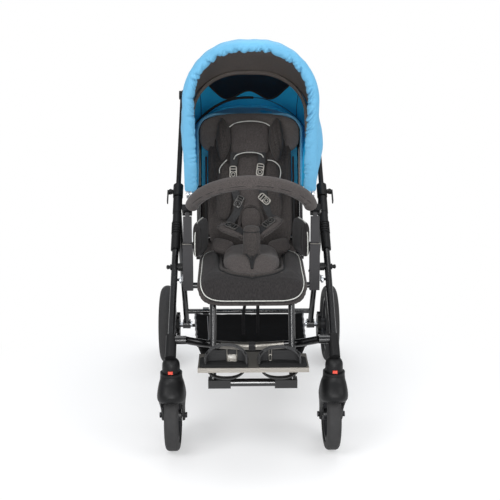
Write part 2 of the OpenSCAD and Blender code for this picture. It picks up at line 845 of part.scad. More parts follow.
module grab_bar() {
  color("#2b2b2e") on_grab() difference() {
    union() {
      rotate([0, 0, 186]) rotate_extrude(angle = 168) translate([grab_r, 0]) circle(9);
      both() xcyl([0, 0], 13, post_x - 14, post_x - 6.5);
      both() xcyl([0, 0], 13, post_x + 6.5, post_x + 14);
      both() translate([post_x - 14, -27, -10]) cube([28, 13, 20]);
      both() translate([post_x - 14, -20, -10]) cube([7.5, 20, 20]);
      both() translate([post_x + 6.5, -20, -10]) cube([7.5, 20, 20]);
    }
    both() xcyl([0, 0], pin_r + fit, post_x - 30, post_x + 8.5);
    both() xcyl([0, 0], 5 + 0.3, post_x + 8, post_x + 30);
  }
}

module grab_bar_sleeve() {
  color("#38383b") on_grab() rotate([0, 0, 190.5]) rotate_extrude(angle = 159) translate([grab_r, 0]) difference() {
    circle(sleeve_r);
    circle(9 + fit);
  }
}

module grab_button(s) {
  color("#dcdcda") side(s) on_grab() xcyl([0, 0], 5, post_x + 11, post_x + 17);
}

// backrest
module backrest_frame() {
  color("#26262a") on_back() difference() {
    union() {
      both() xcyl([0, 0], 12, back_x - 10.5, back_x + 9);
      both() rod([back_x, 0, 0], [back_x, 0, back_len - 40], back_tube_r);
      both() translate([back_x - 40, 0, back_len - 40]) rotate([90, 0, 0])
        rotate_extrude(angle = 90) translate([40, 0]) circle(back_tube_r);
      xcyl([0, back_len], back_tube_r, -back_x + 40, back_x - 40);
      xcyl([0, 60], back_tube_r, -back_x, back_x);
      both() canopy_arm();
    }
    both() xcyl([0, 0], 5 + fit, back_x - 30, back_x + 30);
  }
}

// pivot of the canopy, seen in the square of the backrest
canopy_d = [canopy_u - back_u, canopy_w - back_w0];
canopy_q = [
  canopy_d[0] * cos(back_lean) - canopy_d[1] * sin(back_lean),
  canopy_d[0] * sin(back_lean) + canopy_d[1] * cos(back_lean)
];

module canopy_arm() {
  yz(back_x - 5, 6) {
    bar2d([0, arm_v], canopy_q, 18);
    translate(canopy_q) circle(11);
  }
  xcyl([0, arm_v], 12, back_x - 7, back_x + 7);
  xcyl(canopy_q, pin_r, back_x - 4, canopy_hw - 5);
}

module back_cushion() {
  color("#3a3634") on_back() translate([0, back_pad_y, back_h / 2 + 18]) rotate([90, 0, 0])
    pad(back_w / 2, back_h / 2, back_pad_t, 7, 0.02);
}

module harness() {
  face = pad_face - 0.4;
  color("#19191b") on_back() both() union() {
    translate([44, face - 2.4, 96]) rotate([0, -4, 0]) cube([26, 2.4, 190]);
    translate([37, face - 6, 150]) cube([34, 6, 26]);
    translate([32, face - 6, 250]) cube([34, 6, 26]);
  }
}

module headrest() {
  color("#3f3b39") on_back() {
    translate([0, pad_face - seat_gap, head_z]) rotate([90, 0, 0]) pad(61, 60, head_t, 4, 0.03, count = 32);
    both() translate([86, pad_face - seat_gap, head_z - 6]) rotate([90, 0, 0])
      pad(23.5, 73, head_t + 18, 3.2, 0.03, count = 32);
  }
}

// canopy
module on_canopy(a) {
  on_seat() translate([0, canopy_u, canopy_w]) rotate([seat_rake + a, 0, 0]) rotate([90, 0, 90]) children();
}

module arch(hw, apex) {
  corner = hw - crown_flat;
  translate([0, -hw]) square([apex - corner, 2 * hw]);
  translate([apex - corner - 1, -crown_flat]) square([corner + 1, 2 * crown_flat]);
  for (y = [-crown_flat, crown_flat]) translate([apex - corner, y]) circle(corner);
}

module arch_shell(hw, apex, from, to) {
  on_canopy(from) rotate_extrude(angle = to - from) intersection() {
    difference() {
      arch(hw, apex);
      arch(hw - skin, apex - skin);
    }
    translate([hub_r + 8, -300]) square([600, 600]);
  }
}

module bow(hw, apex, a, r = bow_r) {
  on_canopy(a) translate([0, r, 0]) rotate([90, 0, 0]) linear_extrude(2 * r) intersection() {
    difference() {
      arch(hw + r, apex + r);
      arch(hw - r, apex - r);
    }
    translate([8, -300]) square([600, 600]);
  }
}

module bow_hub(hw) {
  both() on_seat() xcyl([canopy_u, canopy_w], hub_r, hw - bow_r + 1, hw + bow_r - 1);
}

module bow_bore() {
  on_seat() xcyl([canopy_u, canopy_w], pin_r + fit, -300, 300);
}

rear_hw = canopy_hw - skin - skin_gap;
front_bow_hw = rear_hw - skin - skin_gap - bow_r;
rear_bow_hw = front_bow_hw - 2 * bow_r - 1;
bow_apex = canopy_r - 2 * skin - 2 * skin_gap - bow_r;

module canopy_rear_bow() {
  color("#8d9096") difference() {
    union() {
      bow(rear_bow_hw, bow_apex, mid_bow_a);
      bow(rear_bow_hw, bow_apex, rear_edge_a + 2, bow_r - 0.5);
      bow_hub(rear_bow_hw);
    }
    bow_bore();
  }
}

module canopy_rear_shell() {
  color("#4fb0ea") arch_shell(rear_hw, canopy_r - skin - skin_gap, rear_edge_a, mid_bow_a + 1);
}

// cloth between the rear bow and the top of the backrest, sagging in three shallow folds
function turn(p, a) = [p[0] * cos(a) - p[1] * sin(a), p[0] * sin(a) + p[1] * cos(a)];
function seat_pt(u, w) = seat_p + turn([u, w], -seat_rake);
function back_pt(y, z) = seat_pt(back_u, back_w0) + turn([y, z], -seat_rake - back_lean);
panel_n = 20;
panel_m = 6;
panel_sag = 22;
panel_fold = 5;
panel_half = 1.2;
panel_hw = rear_bow_hw - bow_r - seat_gap - 0.2;
panel_apex = bow_apex - bow_r - seat_gap - 0.2;

function panel_top(s) =
  let (corner = panel_hw - crown_flat, r = panel_apex - corner + corner * cos(78 * s), q = seat_pt(canopy_u, canopy_w))
  [crown_flat * s + corner * sin(78 * s), q[0] + r * cos(rear_edge_a + 2), q[1] + r * sin(rear_edge_a + 2)];

function panel_low(s) =
  let (q = back_pt(back_tube_r + 2, back_len - 52))
  [(back_x - 18) * s, q[0], q[1]];

function panel_pt(s, k, h) =
  panel_top(s) * (1 - k) + panel_low(s) * k
  + sin(180 * k) * [0, panel_fold * cos(540 * s), -panel_sag * (1 - 0.4 * s * s)]
  + h * [0, -0.5, 0.87];

module canopy_back_panel() {
  row = panel_n + 1;
  layer = row * (panel_m + 1);
  points = [for (h = [-panel_half, panel_half]) for (j = [0:panel_m]) for (i = [0:panel_n])
    panel_pt(2 * i / panel_n - 1, j / panel_m, h)];
  cells = [for (j = [0:panel_m - 1]) for (i = [0:panel_n - 1]) j * row + i];
  rim = concat(
    [for (i = [0:panel_n - 1]) i],
    [for (j = [0:panel_m - 1]) j * row + panel_n],
    [for (i = [panel_n:-1:1]) panel_m * row + i],
    [for (j = [panel_m:-1:1]) j * row]
  );
  count = len(rim);
  faces = concat(
    [for (c = cells) [c, c + row, c + 1]],
    [for (c = cells) [c + 1, c + row, c + row + 1]],
    [for (c = cells) [layer + c, layer + c + 1, layer + c + row]],
    [for (c = cells) [layer + c + 1, layer + c + row + 1, layer + c + row]],
    [for (i = [0:count - 1]) [rim[i], rim[(i + 1) % count], layer + rim[i]]],
    [for (i = [0:count - 1]) [rim[(i + 1) % count], layer + rim[(i + 1) % count], layer + rim[i]]]
  );
  color("#4fb0ea") polyhedron(points, faces);
}

module canopy_front_bow() {
  color("#8d9096") difference() {
    union() {
      bow(front_bow_hw, bow_apex, front_bow_a - 2);
      bow_hub(front_bow_hw);
    }
    bow_bore();
  }
}

module canopy_front_shell() {
  color("#4fb0ea") arch_shell(canopy_hw, canopy_r, mid_bow_a + 2, front_bow_a);
}

place() {
  main_tubes();
  front_cross_tube();
  caster_heads();
  frame_joints();
  handle_clamps();
  pivot_bolts();
  hinge_pins();
  basket();
  fold_stay(-1);  // fold_stay_left
  fold_stay(1);  // fold_stay_right
  clamp_lever(-1);  // clamp_lever_left
  clamp_lever(1);  // clamp_lever_right
  swivel_lock(-1);  // swivel_lock_left
  swivel_lock(1);  // swivel_lock_right
  caster_fork(-1);  // caster_fork_left
  caster_fork(1);  // caster_fork_right
  front_axle(-1);  // front_axle_left
  front_axle(1);  // front_axle_right
  front_rim(-1);  // front_rim_left
  front_rim(1);  // front_rim_right
  front_tyre(-1);  // front_tyre_left
  front_tyre(1);  // front_tyre_right
  rear_legs();
  rear_cross_bar();
  rear_axles();
  rear_rim(-1);  // rear_rim_left
  rear_rim(1);  // rear_rim_right
  rear_tyre(-1);  // rear_tyre_left
  rear_tyre(1);  // rear_tyre_right
  brake_ring(-1);  // brake_ring_left
  brake_ring(1);  // brake_ring_right
  brake_pedal();
  push_handle();
  handle_grip();
  seat_frame();
  side_posts();
  grab_bar_posts();
  seat_pan();
  seat_cushion();
  seat_insert();
  pommel();
  hip_pads();
  lap_pads();
  footrest_hanger();
  footplate_clamps();
  footplate();
  foot_straps();
  grab_bar();
  grab_bar_sleeve();
  grab_button(-1);  // grab_button_left
  grab_button(1);  // grab_button_right
  backrest_frame();
  back_cushion();
  harness();
  headrest();
  canopy_rear_bow();
  canopy_rear_shell();
  canopy_front_bow();
  canopy_front_shell();
  canopy_back_panel();
}
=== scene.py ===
# %% [markdown]
# # Dressing a special needs buggy
# The real object is a folding push chair: painted steel tubes, moulded plastic joints, four wheels,
# and a seat unit covered in charcoal cloth under a sky-blue canopy.
# The tubes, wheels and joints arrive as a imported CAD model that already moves.
# This lesson gives every CAD piece its real finish and then sews the soft goods around the frame.

import math

import bmesh
import bpy
from mathutils import Matrix, Vector, noise
from mathutils.bvhtree import BVHTree
from mathutils.geometry import interpolate_bezier


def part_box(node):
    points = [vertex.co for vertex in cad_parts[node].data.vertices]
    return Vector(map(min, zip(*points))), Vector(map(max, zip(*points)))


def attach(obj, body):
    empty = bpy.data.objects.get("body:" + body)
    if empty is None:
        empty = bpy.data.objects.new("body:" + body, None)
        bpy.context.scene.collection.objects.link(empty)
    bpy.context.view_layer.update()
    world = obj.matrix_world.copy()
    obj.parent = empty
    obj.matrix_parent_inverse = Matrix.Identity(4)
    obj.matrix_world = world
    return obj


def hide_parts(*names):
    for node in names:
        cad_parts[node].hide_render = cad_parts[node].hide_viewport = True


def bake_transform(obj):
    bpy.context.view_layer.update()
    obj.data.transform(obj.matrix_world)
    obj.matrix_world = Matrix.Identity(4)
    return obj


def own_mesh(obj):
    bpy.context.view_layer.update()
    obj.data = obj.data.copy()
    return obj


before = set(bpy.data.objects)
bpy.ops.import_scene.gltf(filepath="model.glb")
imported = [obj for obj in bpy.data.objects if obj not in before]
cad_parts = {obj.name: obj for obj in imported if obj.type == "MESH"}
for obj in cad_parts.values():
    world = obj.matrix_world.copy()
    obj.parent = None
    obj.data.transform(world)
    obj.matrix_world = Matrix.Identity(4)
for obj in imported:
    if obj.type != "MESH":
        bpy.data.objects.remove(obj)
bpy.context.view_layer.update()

# %% [markdown]
# The soft pieces are easier to draw in the squares that a sewer would use: the seat, the back and the canopy.
# The seat square starts at the seat pivot (u runs back, w runs up), the back square at the recline hinge,
# and the canopy is drawn by an angle around its pivot and a position along its arch.
# A matrix for each square carries a point from there into the frame of the buggy.

# %% The squares of the seat, the back and the canopy
MM = 0.001
SIDES = (("left", -1), ("right", 1))
SEAT_RAKE, BACK_LEAN, GRAB_TILT = 4.6, 15.4, 33
SEAT_PIVOT = Vector((0, -0.17271, 0.50270))


def shift(x, y, z):
    return Matrix.Translation(Vector((x, y, z)) * MM)


def turned(axis, degrees):
    return Matrix.Rotation(math.radians(degrees), 4, axis)


SEAT = Matrix.Translation(SEAT_PIVOT) @ turned("X", -SEAT_RAKE)
BACK = SEAT @ Matrix.Translation((0, 0.218, -0.003)) @ turned("X", -BACK_LEAN)
CANOPY_PIVOT = SEAT @ Vector((0, 0.133, 0.207))
GRAB = SEAT @ Matrix.Translation((0, 0, 0.168)) @ turned("X", -GRAB_TILT)
print("canopy pivot", CANOPY_PIVOT[:], "recline hinge", BACK.to_translation()[:])


def seat_at(x, u, w):
    return SEAT @ Vector((x * MM, u * MM, w * MM))


def back_at(x, y, z):
    return BACK @ Vector((x * MM, y * MM, z * MM))


# %% [markdown]
# A few small helpers do most of the repeated work.
# `add` puts one node into a material and `feed` sets or links its sockets. `srgb` turns a colour as we read it
# off a screen into the linear colour that the renderer needs, and `piece` turns a finished bmesh into an object
# that rides on a body. A piece names its finishes, which the next cells collect in one table.

# %% Helpers for nodes, colours and pieces
def srgb(code):
    parts = [int(code[i:i + 2], 16) / 255 for i in (1, 3, 5)]
    return [c / 12.92 if c <= 0.04045 else ((c + 0.055) / 1.055) ** 2.4 for c in parts] + [1.0]


def feed(tree, node, inputs):
    for name, value in inputs.items():
        if isinstance(value, bpy.types.NodeSocket):
            tree.links.new(value, node.inputs[name])
        else:
            node.inputs[name].default_value = value


def add(tree, kind, inputs=None, **settings):
    node = tree.nodes.new("ShaderNode" + kind)
    for name, value in settings.items():
        setattr(node, name, value)
    feed(tree, node, inputs or {})
    return node


def start_material(name, **sockets):
    made = bpy.data.materials.new(name)
    made.use_nodes = True
    shader = made.node_tree.nodes["Principled BSDF"]
    feed(made.node_tree, shader, {socket.replace("_", " "): value for socket, value in sockets.items()})
    return made, made.node_tree, shader


def piece(name, bm, finish, body, slot, crease=40):
    bmesh.ops.remove_doubles(bm, verts=bm.verts[:], dist=0.02 * MM)
    bmesh.ops.recalc_face_normals(bm, faces=bm.faces[:])
    mesh = bpy.data.meshes.new(name)
    bm.to_mesh(mesh)
    bm.free()
    for one in finish if isinstance(finish, list) else [finish]:
        mesh.materials.append(FINISH[one])
    mesh.shade_smooth()
    if crease:
        mesh.set_sharp_from_angle(angle=math.radians(crease))
    made = bpy.data.objects.new(name, mesh)
    bpy.context.collection.objects.link(made)
    if body:
        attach(made, body)
    print(name, "faces", len(mesh.polygons), "rides on", body)
    return made


# %% [markdown]
# Sewn goods are full of lines: piping, straps and bindings.
# `flow` runs a smooth line through a few points, `tube` lays a round cord along it, and `ribbon` lays flat
# webbing along it. A Bezier between each pair of points keeps the line on the points that we chose.
# `laid_tubes` makes one piece of all the cords that share a seam.

# %% Helpers for lines, cords and webbing
def flow(points, steps):
    knots = [Vector(p).to_3d() for p in points]
    line = []
    for i, (a, b) in enumerate(zip(knots, knots[1:])):
        before, after = knots[max(i - 1, 0)], knots[min(i + 2, len(knots) - 1)]
        line.extend(interpolate_bezier(a, a + (b - before) / 6, b - (after - a) / 6, b, steps + 1)[:-1])
    return line + knots[-1:]


def tube(line, radius, bm, closed=False, sides=2):
    curve = bpy.data.curves.new("line", "CURVE")
    curve.dimensions = "3D"
    curve.bevel_depth = radius
    curve.bevel_resolution = sides
    curve.use_fill_caps = not closed
    spline = curve.splines.new("POLY")
    spline.points.add(len(line) - 1)
    for point, place in zip(spline.points, line):
        point.co = (*place, 1)
    spline.use_cyclic_u = closed
    holder = bpy.data.objects.new("line", curve)
    bm.from_mesh(holder.to_mesh())
    holder.to_mesh_clear()
    bpy.data.objects.remove(holder)
    bpy.data.curves.remove(curve)


def laid_tubes(name, lines, radius, finish, body, slot, closed=False, sides=2):
    bm = bmesh.new()
    for line in lines:
        tube(line, radius * MM, bm, closed, sides)
    return piece(name, bm, finish, body, slot)


def ribbon(line, side, width, thick, bm=None):
    bm = bm or bmesh.new()
    sides = side if isinstance(side, list) else [side] * len(line)
    uv = bm.loops.layers.uv.verify()
    reach = [0.0]
    for a, b in zip(line, line[1:]):
        reach.append(reach[-1] + (b - a).length)
    edge = [bm.verts.new(p - s.normalized() * width / 2) for p, s in zip(line, sides)]
    where = {vert: (0.0, reach[i]) for i, vert in enumerate(edge)}
    along = [bm.edges.new(pair) for pair in zip(edge, edge[1:])]
    grown = bmesh.ops.extrude_edge_only(bm, edges=along)["geom"]
    faces = [g for g in grown if isinstance(g, bmesh.types.BMFace)]
    for vert in [g for g in grown if isinstance(g, bmesh.types.BMVert)]:
        near = min(range(len(line)), key=lambda i: (edge[i].co - vert.co).length_squared)
        vert.co = vert.co + sides[near].normalized() * width
        where[vert] = (width, reach[near])
    for face in faces:
        for loop in face.loops:
            loop[uv].uv = where[loop.vert]
    bmesh.ops.recalc_face_normals(bm, faces=faces)
    bmesh.ops.solidify(bm, geom=faces, thickness=thick)
    return bm


print("helpers ready: flow, tube, laid_tubes, ribbon")

# %% [markdown]
# ## Hard finishes
# Most of the hard pieces are black, and only their surface tells them apart: powder coat is glossy with a
# faint orange peel, glass-filled nylon is duller with a moulded grain, rubber is matt and dusty.
# One table holds what differs, and every row becomes a material with a mottled colour and a fine bump.
# The grain sizes are real sizes in millimetres, drawn two to three times coarser so that they show.

# %% Painted, moulded and rubber finishes
FINISH = {}
HARD = {
    # name: colour, paler mottle, mottle mm, grain mm, bump, roughness, coat, specular level
    "powder_coated_steel_black": ("#0b0b0c", "#141416", 60, 1.6, 0.012, 0.20, 0.25, 0.5),
    "matt_powder_coat_black": ("#0d0d0e", "#171718", 40, 1.6, 0.05, 0.52, 0.0, 0.16),
    "ribbed_rubber_mat": ("#121213", "#1f1f20", 12, 3.0, 0.30, 0.74, 0.0, 0.22),
    "glass_filled_nylon_black": ("#0e0e0f", "#19191a", 22, 1.2, 0.12, 0.46, 0.0, 0.20),
    "satin_painted_post_grey": ("#1f1e21", "#2c2b2e", 45, 1.4, 0.06, 0.46, 0.0, 0.22),
    "moulded_rim_nylon": ("#1d1d20", "#303033", 26, 1.2, 0.10, 0.40, 0.0, 0.45),
    "vulcanised_tyre_rubber": ("#262627", "#3b3a3a", 16, 2.2, 0.22, 0.78, 0.0, 0.30),
    "red_moulded_abs": ("#d93a26", "#ea5640", 14, 1.0, 0.05, 0.34, 0.1, 0.5),
    "pale_moulded_abs": ("#cfcfcb", "#e4e4e0", 14, 1.0, 0.05, 0.36, 0.1, 0.5),
    "grey_moulded_acetal": ("#9b978f", "#b3afa7", 14, 1.0, 0.05, 0.34, 0.1, 0.5),
    "dark_moulded_acetal": ("#3a3836", "#4c4946", 14, 1.0, 0.05, 0.34, 0.1, 0.5),
    "closed_cell_grip_foam": ("#1a1a1b", "#2b2b2c", 9, 2.0, 0.35, 0.85, 0.0, 0.25),
}
for name, (base, mottle, spread, grain, bump, rough, coat, shine) in HARD.items():
    made, tree, shader = start_material(
        name, Coat_Weight=coat, Coat_Roughness=0.12, Specular_IOR_Level=shine, IOR=1.5)
    where = add(tree, "TexCoord").outputs["Object"]
    cloud = add(tree, "TexNoise", {
        "Vector": where, "Scale": 1 / (spread * MM), "Detail": 4.0, "Roughness": 0.6})
    colour = add(tree, "Mix", {0: cloud.outputs["Fac"], 6: srgb(base), 7: srgb(mottle)}, data_type="RGBA")
    sheen = add(tree, "MapRange", {
        "Value": cloud.outputs["Fac"], "To Min": rough - 0.07, "To Max": rough + 0.09})
    peel = add(tree, "TexNoise", {"Vector": where, "Scale": 1 / (grain * MM), "Detail": 2.0})
    relief = add(tree, "Bump", {"Height": peel.outputs["Fac"], "Strength": bump, "Distance": 0.4 * MM})
    feed(tree, shader, {
        "Base Color": colour.outputs[2], "Roughness": sheen.outputs["Result"], "Normal": relief.outputs["Normal"]})
    FINISH[name] = made
print("hard finishes:", len(HARD))

# %% [markdown]
# Bare metal is told by its reflections. The rear axles and the pins are zinc-plated steel, slightly cloudy, and
# the front axles are blackened. The stays and canopy bows are anodised aluminium, the footplate is brushed, and
# the buckles and the sleeve of the front bow are a satin alloy. Their drawn lines are about 0.3 mm apart, made
# coarser and stretched along X so that they still show at this size.

# %% Bare metals
METAL = {
    # name: colour, mottle, roughness, line mm across, stretch along X
    "zinc_plated_steel": ("#a9acb1", "#c3c6ca", 0.30, 3.0, 1.0),
    "anodised_aluminium": ("#b4b7bc", "#cdd0d4", 0.34, 1.2, 0.08),
    "black_oxide_steel": ("#262628", "#38383a", 0.45, 2.0, 1.0),
    "satin_alloy_tube": ("#77746f", "#918e88", 0.38, 1.4, 0.05),
    "brushed_plate_aluminium": ("#837f79", "#9e9a94", 0.40, 0.9, 0.03),
}
for name, (base, mottle, rough, line_mm, stretch) in METAL.items():
    made, tree, shader = start_material(name, Metallic=1.0)
    where = add(tree, "TexCoord").outputs["Object"]
    drawn = add(tree, "Mapping", {"Vector": where, "Scale": (stretch, 1.0, 1.0)})
    lines = add(tree, "TexNoise", {
        "Vector": drawn.outputs["Vector"], "Scale": 1 / (line_mm * MM), "Detail": 3.0})
    colour = add(tree, "Mix", {0: lines.outputs["Fac"], 6: srgb(base), 7: srgb(mottle)}, data_type="RGBA")
    haze = add(tree, "MapRange", {
        "Value": lines.outputs["Fac"], "To Min": rough - 0.08, "To Max": rough + 0.12})
    relief = add(tree, "Bump", {"Height": lines.outputs["Fac"], "Strength": 0.12, "Distance": 0.15 * MM})
    feed(tree, shader, {
        "Base Color": colour.outputs[2], "Roughness": haze.outputs["Result"], "Normal": relief.outputs["Normal"]})
    FINISH[name] = made
print("metals:", len(METAL))

# %% [markdown]
# ## Cloth finishes
# The padded pieces wear a warm charcoal polyester whose yarns are two greys twisted together, which gives a
# heather. The front panel is a darker slub weave with upright streaks. The canopy is a plain sky-blue nylon.
# A real thread is 0.4 mm; here the weave is drawn about 2 mm wide, or it would vanish in the render.
# Two waves at right angles make the weave's bump, a stretched noise makes the slubs, and a soft sheen on the
# shader's own socket gives the fuzz along the rims.

# %% Cloth finishes
CLOTH = {
    # name: dark yarn, pale yarn, slub mm (x, y, z), weave mm, weave bump, crumple mm, crumple bump, rough, sheen
    # yoke: a lighter copy of the charcoal cloth, painted light for the yoke in the canopy's shade
    "yoke_polyester": ("#544f4d", "#6b6562", (3.0, 3.0, 3.0), 2.2, 0.14, 28, 0.20, 0.86, 0.08),
    "charcoal_polyester": ("#2b2827", "#443f3d", (3.2, 3.2, 3.2), 2.2, 0.16, 26, 0.22, 0.86, 0.10),
    # slub: the seat's darker front panel, and on the hip pads painted shade for their shadowed faces
    "slub_polyester": ("#181617", "#312e2e", (1.6, 5.0, 9.0), 2.0, 0.22, 34, 0.12, 0.88, 0.10),
    "padded_charcoal_polyester": ("#373332", "#524c4a", (2.6, 2.6, 2.6), 2.0, 0.18, 30, 0.15, 0.86, 0.12),
    # lining: colour lifted well above the real dark lining, painted light for the light under the canopy
    "dark_lining_polyester": ("#665e58", "#7b716b", (3.0, 3.0, 3.0), 1.8, 0.10, 40, 0.15, 0.80, 0.05),
    "sky_blue_nylon": ("#62a5ca", "#6caed2", (2.4, 2.4, 2.4), 1.8, 0.05, 40, 0.16, 0.62, 0.06),
    # a deeper, more saturated copy of the canopy blue: painted light for the light shining through the cloth
    "coated_blue_nylon": ("#25a9e0", "#33bbec", (2.4, 2.4, 2.4), 1.8, 0.05, 30, 0.45, 0.55, 0.0),
    "basket_nylon_black": ("#050506", "#0c0c0d", (3.0, 3.0, 3.0), 2.0, 0.16, 38, 0.30, 0.80, 0.0),
    "grey_reflective_piping": ("#b3b3ae", "#d2d2cc", (2.5, 2.5, 2.5), 1.2, 0.10, 20, 0.05, 0.55, 0.0),
    "black_edge_binding": ("#131314", "#242425", (2.0, 2.0, 2.0), 1.6, 0.20, 20, 0.08, 0.80, 0.05),
    # a pale cord that paints the highlight along the lower edge of the middle bow's sleeve
    "grey_bow_piping": ("#6f6862", "#8d857d", (2.5, 2.5, 2.5), 1.2, 0.10, 20, 0.05, 0.60, 0.0),
    "dark_blue_thread": ("#123a58", "#1c4d72", (2.0, 2.0, 2.0), 1.6, 0.10, 20, 0.05, 0.80, 0.0),
    "grey_gusset_binding": ("#5b5a5c", "#7b7a7c", (2.0, 2.0, 2.0), 1.6, 0.20, 20, 0.08, 0.80, 0.05),
}
for name, (dark, pale, slub, weave, weave_bump, crumple, crumple_bump, rough, fuzz) in CLOTH.items():
    shine = 0.06 if "basket" in name else 0.22
    made, tree, shader = start_material(
        name, Sheen_Weight=fuzz, Sheen_Roughness=0.5, Specular_IOR_Level=shine, IOR=1.5)
    where = add(tree, "TexCoord").outputs["Object"]
    yarn_space = add(tree, "Mapping", {"Vector": where, "Scale": [1 / (s * MM) for s in slub]})
    yarn = add(tree, "TexNoise", {"Vector": yarn_space.outputs["Vector"], "Scale": 1.0, "Detail": 3.0})
    worn = add(tree, "TexNoise", {"Vector": where, "Scale": 1 / (90 * MM), "Detail": 2.0})
    share = add(tree, "MapRange", {"Value": yarn.outputs["Fac"], "From Min": 0.32, "From Max": 0.68})
    colour = add(tree, "Mix", {0: share.outputs["Result"], 6: srgb(dark), 7: srgb(pale)}, data_type="RGBA")
    tint = add(tree, "MapRange", {"Value": worn.outputs["Fac"], "To Min": 0.90, "To Max": 1.10})
    aged = add(tree, "VectorMath", {
        0: colour.outputs[2], "Scale": tint.outputs["Result"]}, operation="SCALE")
    matt = add(tree, "MapRange", {
        "Value": yarn.outputs["Fac"], "To Min": rough - 0.08, "To Max": rough + 0.08})
    pitch = math.tau / (weave * MM) / 20
    warp = add(tree, "TexWave", {"Vector": where, "Scale": pitch}, bands_direction="X")
    weft = add(tree, "TexWave", {"Vector": where, "Scale": pitch}, bands_direction="Z")
    over = add(tree, "Math", {0: warp.outputs["Fac"], 1: weft.outputs["Fac"]}, operation="ADD")
    thread = add(tree, "Bump", {
        "Height": over.outputs["Value"], "Strength": weave_bump, "Distance": 0.4 * MM})
    creases = add(tree, "TexNoise", {
        "Vector": where, "Scale": 1 / (crumple * MM), "Detail": 3.0, "Distortion": 0.6})
    relief = add(tree, "Bump", {
        "Height": creases.outputs["Fac"], "Strength": crumple_bump, "Distance": 4 * MM,
        "Normal": thread.outputs["Normal"]})
    feed(tree, shader, {
        "Base Color": aged.outputs["Vector"], "Roughness": matt.outputs["Result"],
        "Normal": relief.outputs["Normal"]})
    FINISH[name] = made
print("cloths:", len(CLOTH))

# %% [markdown]
# Webbing is a narrow woven tape with ribs across it, so it reads the tape's own UV map, which holds metres:
# U runs across the tape and V along it. The window of the canopy is an open knitted net: threads 0.5 mm wide
# around holes, drawn 3 mm apart here, with the holes cut by alpha.

# %% Webbing and net
made, tree, shader = start_material("polyester_webbing_black", Specular_IOR_Level=0.3, Sheen_Weight=0.05)
tape = add(tree, "TexCoord").outputs["UV"]
ribs = add(tree, "TexWave", {"Vector": tape, "Scale": math.tau / (2.4 * MM) / 20}, bands_direction="Y")
rows = add(tree, "TexWave", {"Vector": tape, "Scale": math.tau / (4.0 * MM) / 20}, bands_direction="X")
both_ways = add(tree, "Math", {0: ribs.outputs["Fac"], 1: rows.outputs["Fac"]}, operation="ADD")
colour = add(tree, "Mix", {0: ribs.outputs["Fac"], 6: srgb("#121213"), 7: srgb("#2c2c2e")}, data_type="RGBA")
gloss = add(tree, "MapRange", {"Value": rows.outputs["Fac"], "To Min": 0.5, "To Max": 0.68})
relief = add(tree, "Bump", {"Height": both_ways.outputs["Value"], "Strength": 0.4, "Distance": 0.5 * MM})
feed(tree, shader, {
    "Base Color": colour.outputs[2], "Roughness": gloss.outputs["Result"], "Normal": relief.outputs["Normal"]})
FINISH["polyester_webbing_black"] = made

made, tree, shader = start_material("knitted_window_net", Specular_IOR_Level=0.2)
tape = add(tree, "TexCoord").outputs["UV"]
cells = add(tree, "TexVoronoi", {
    "Vector": tape, "Scale": 1 / (3.0 * MM), "Randomness": 0.12}, voronoi_dimensions="2D")
colour = add(tree, "Mix", {
    0: cells.outputs["Distance"], 6: srgb("#0b1119"), 7: srgb("#121d2a")}, data_type="RGBA")
open_hole = add(tree, "Math", {0: cells.outputs["Distance"], 1: 0.22}, operation="GREATER_THAN")
knots = add(tree, "MapRange", {"Value": cells.outputs["Distance"], "To Min": 0.55, "To Max": 0.8})
feed(tree, shader, {
    "Base Color": colour.outputs[2], "Alpha": open_hole.outputs["Value"], "Roughness": knots.outputs["Result"]})
FINISH["knitted_window_net"] = made
print("finishes in all:", len(FINISH))

# %% [markdown]
# ## Camera, floor and light
# The photograph was taken from in front and a little above, so the camera stands 2.2 m before the front axle
# at 1.14 m height and looks down by 14 degrees, a degree off the middle line.
# The floor is white paper: near the buggy it is mostly diffuse white that keeps the shadow, and further out it
# fades into a background of strength 1, which is white.
# Four softboxes light the buggy. A tall strip in front of it reaches only glossy surfaces, on which it draws
# the long highlight that painted tubes show, and leaves the cloth alone.

# %% Camera
SENSOR_MM, LENS_MM = 36.0, 58.68
EYE_PLACE, EYE_TILT, EYE_PAN = (-0.044, -2.5375, 1.140), 76.1, -0.97
camera = bpy.data.cameras.new("camera")
camera.sensor_width = SENSOR_MM
camera.lens = LENS_MM
eye = bpy.data.objects.new("camera", camera)
eye.location = EYE_PLACE
eye.rotation_euler = (math.radians(EYE_TILT), 0, math.radians(EYE_PAN))
bpy.context.collection.objects.link(eye)
scene = bpy.context.scene
scene.camera = eye
scene.view_settings.view_transform = "Standard"
print("camera at", eye.location[:])

# %% White floor that keeps the shadow
FLOOR_RADIUS, FADE_FROM, FADE_TO, NEAR_SHARE = 9.0, 0.52, 1.08, 0.44
bm = bmesh.new()
bmesh.ops.create_circle(bm, cap_ends=True, segments=96, radius=FLOOR_RADIUS)
paper, tree, shader = start_material(
    "white_paper_floor", Roughness=0.9, Specular_IOR_Level=0.0, Base_Color=srgb("#f7f7f8"))
where = add(tree, "TexCoord").outputs["Object"]
reach = add(tree, "VectorMath", {0: where}, operation="LENGTH")
fade = add(tree, "MapRange", {
    "Value": reach.outputs["Value"], "From Min": FADE_FROM, "From Max": FADE_TO, "To Min": NEAR_SHARE, "To Max": 1.0},
    interpolation_type="SMOOTHSTEP")
ray = add(tree, "LightPath")
seen = add(tree, "Math", {0: ray.outputs["Is Camera Ray"], 1: ray.outputs["Is Glossy Ray"]}, operation="ADD")
shown = add(tree, "Math", {
    0: seen.outputs["Value"], 1: ray.outputs["Is Transmission Ray"]}, operation="ADD", use_clamp=True)
share = add(tree, "Math", {0: fade.outputs["Result"], 1: shown.outputs["Value"]}, operation="MULTIPLY")
white = add(tree, "Emission", {"Color": (1, 1, 1, 1), "Strength": 1.0})
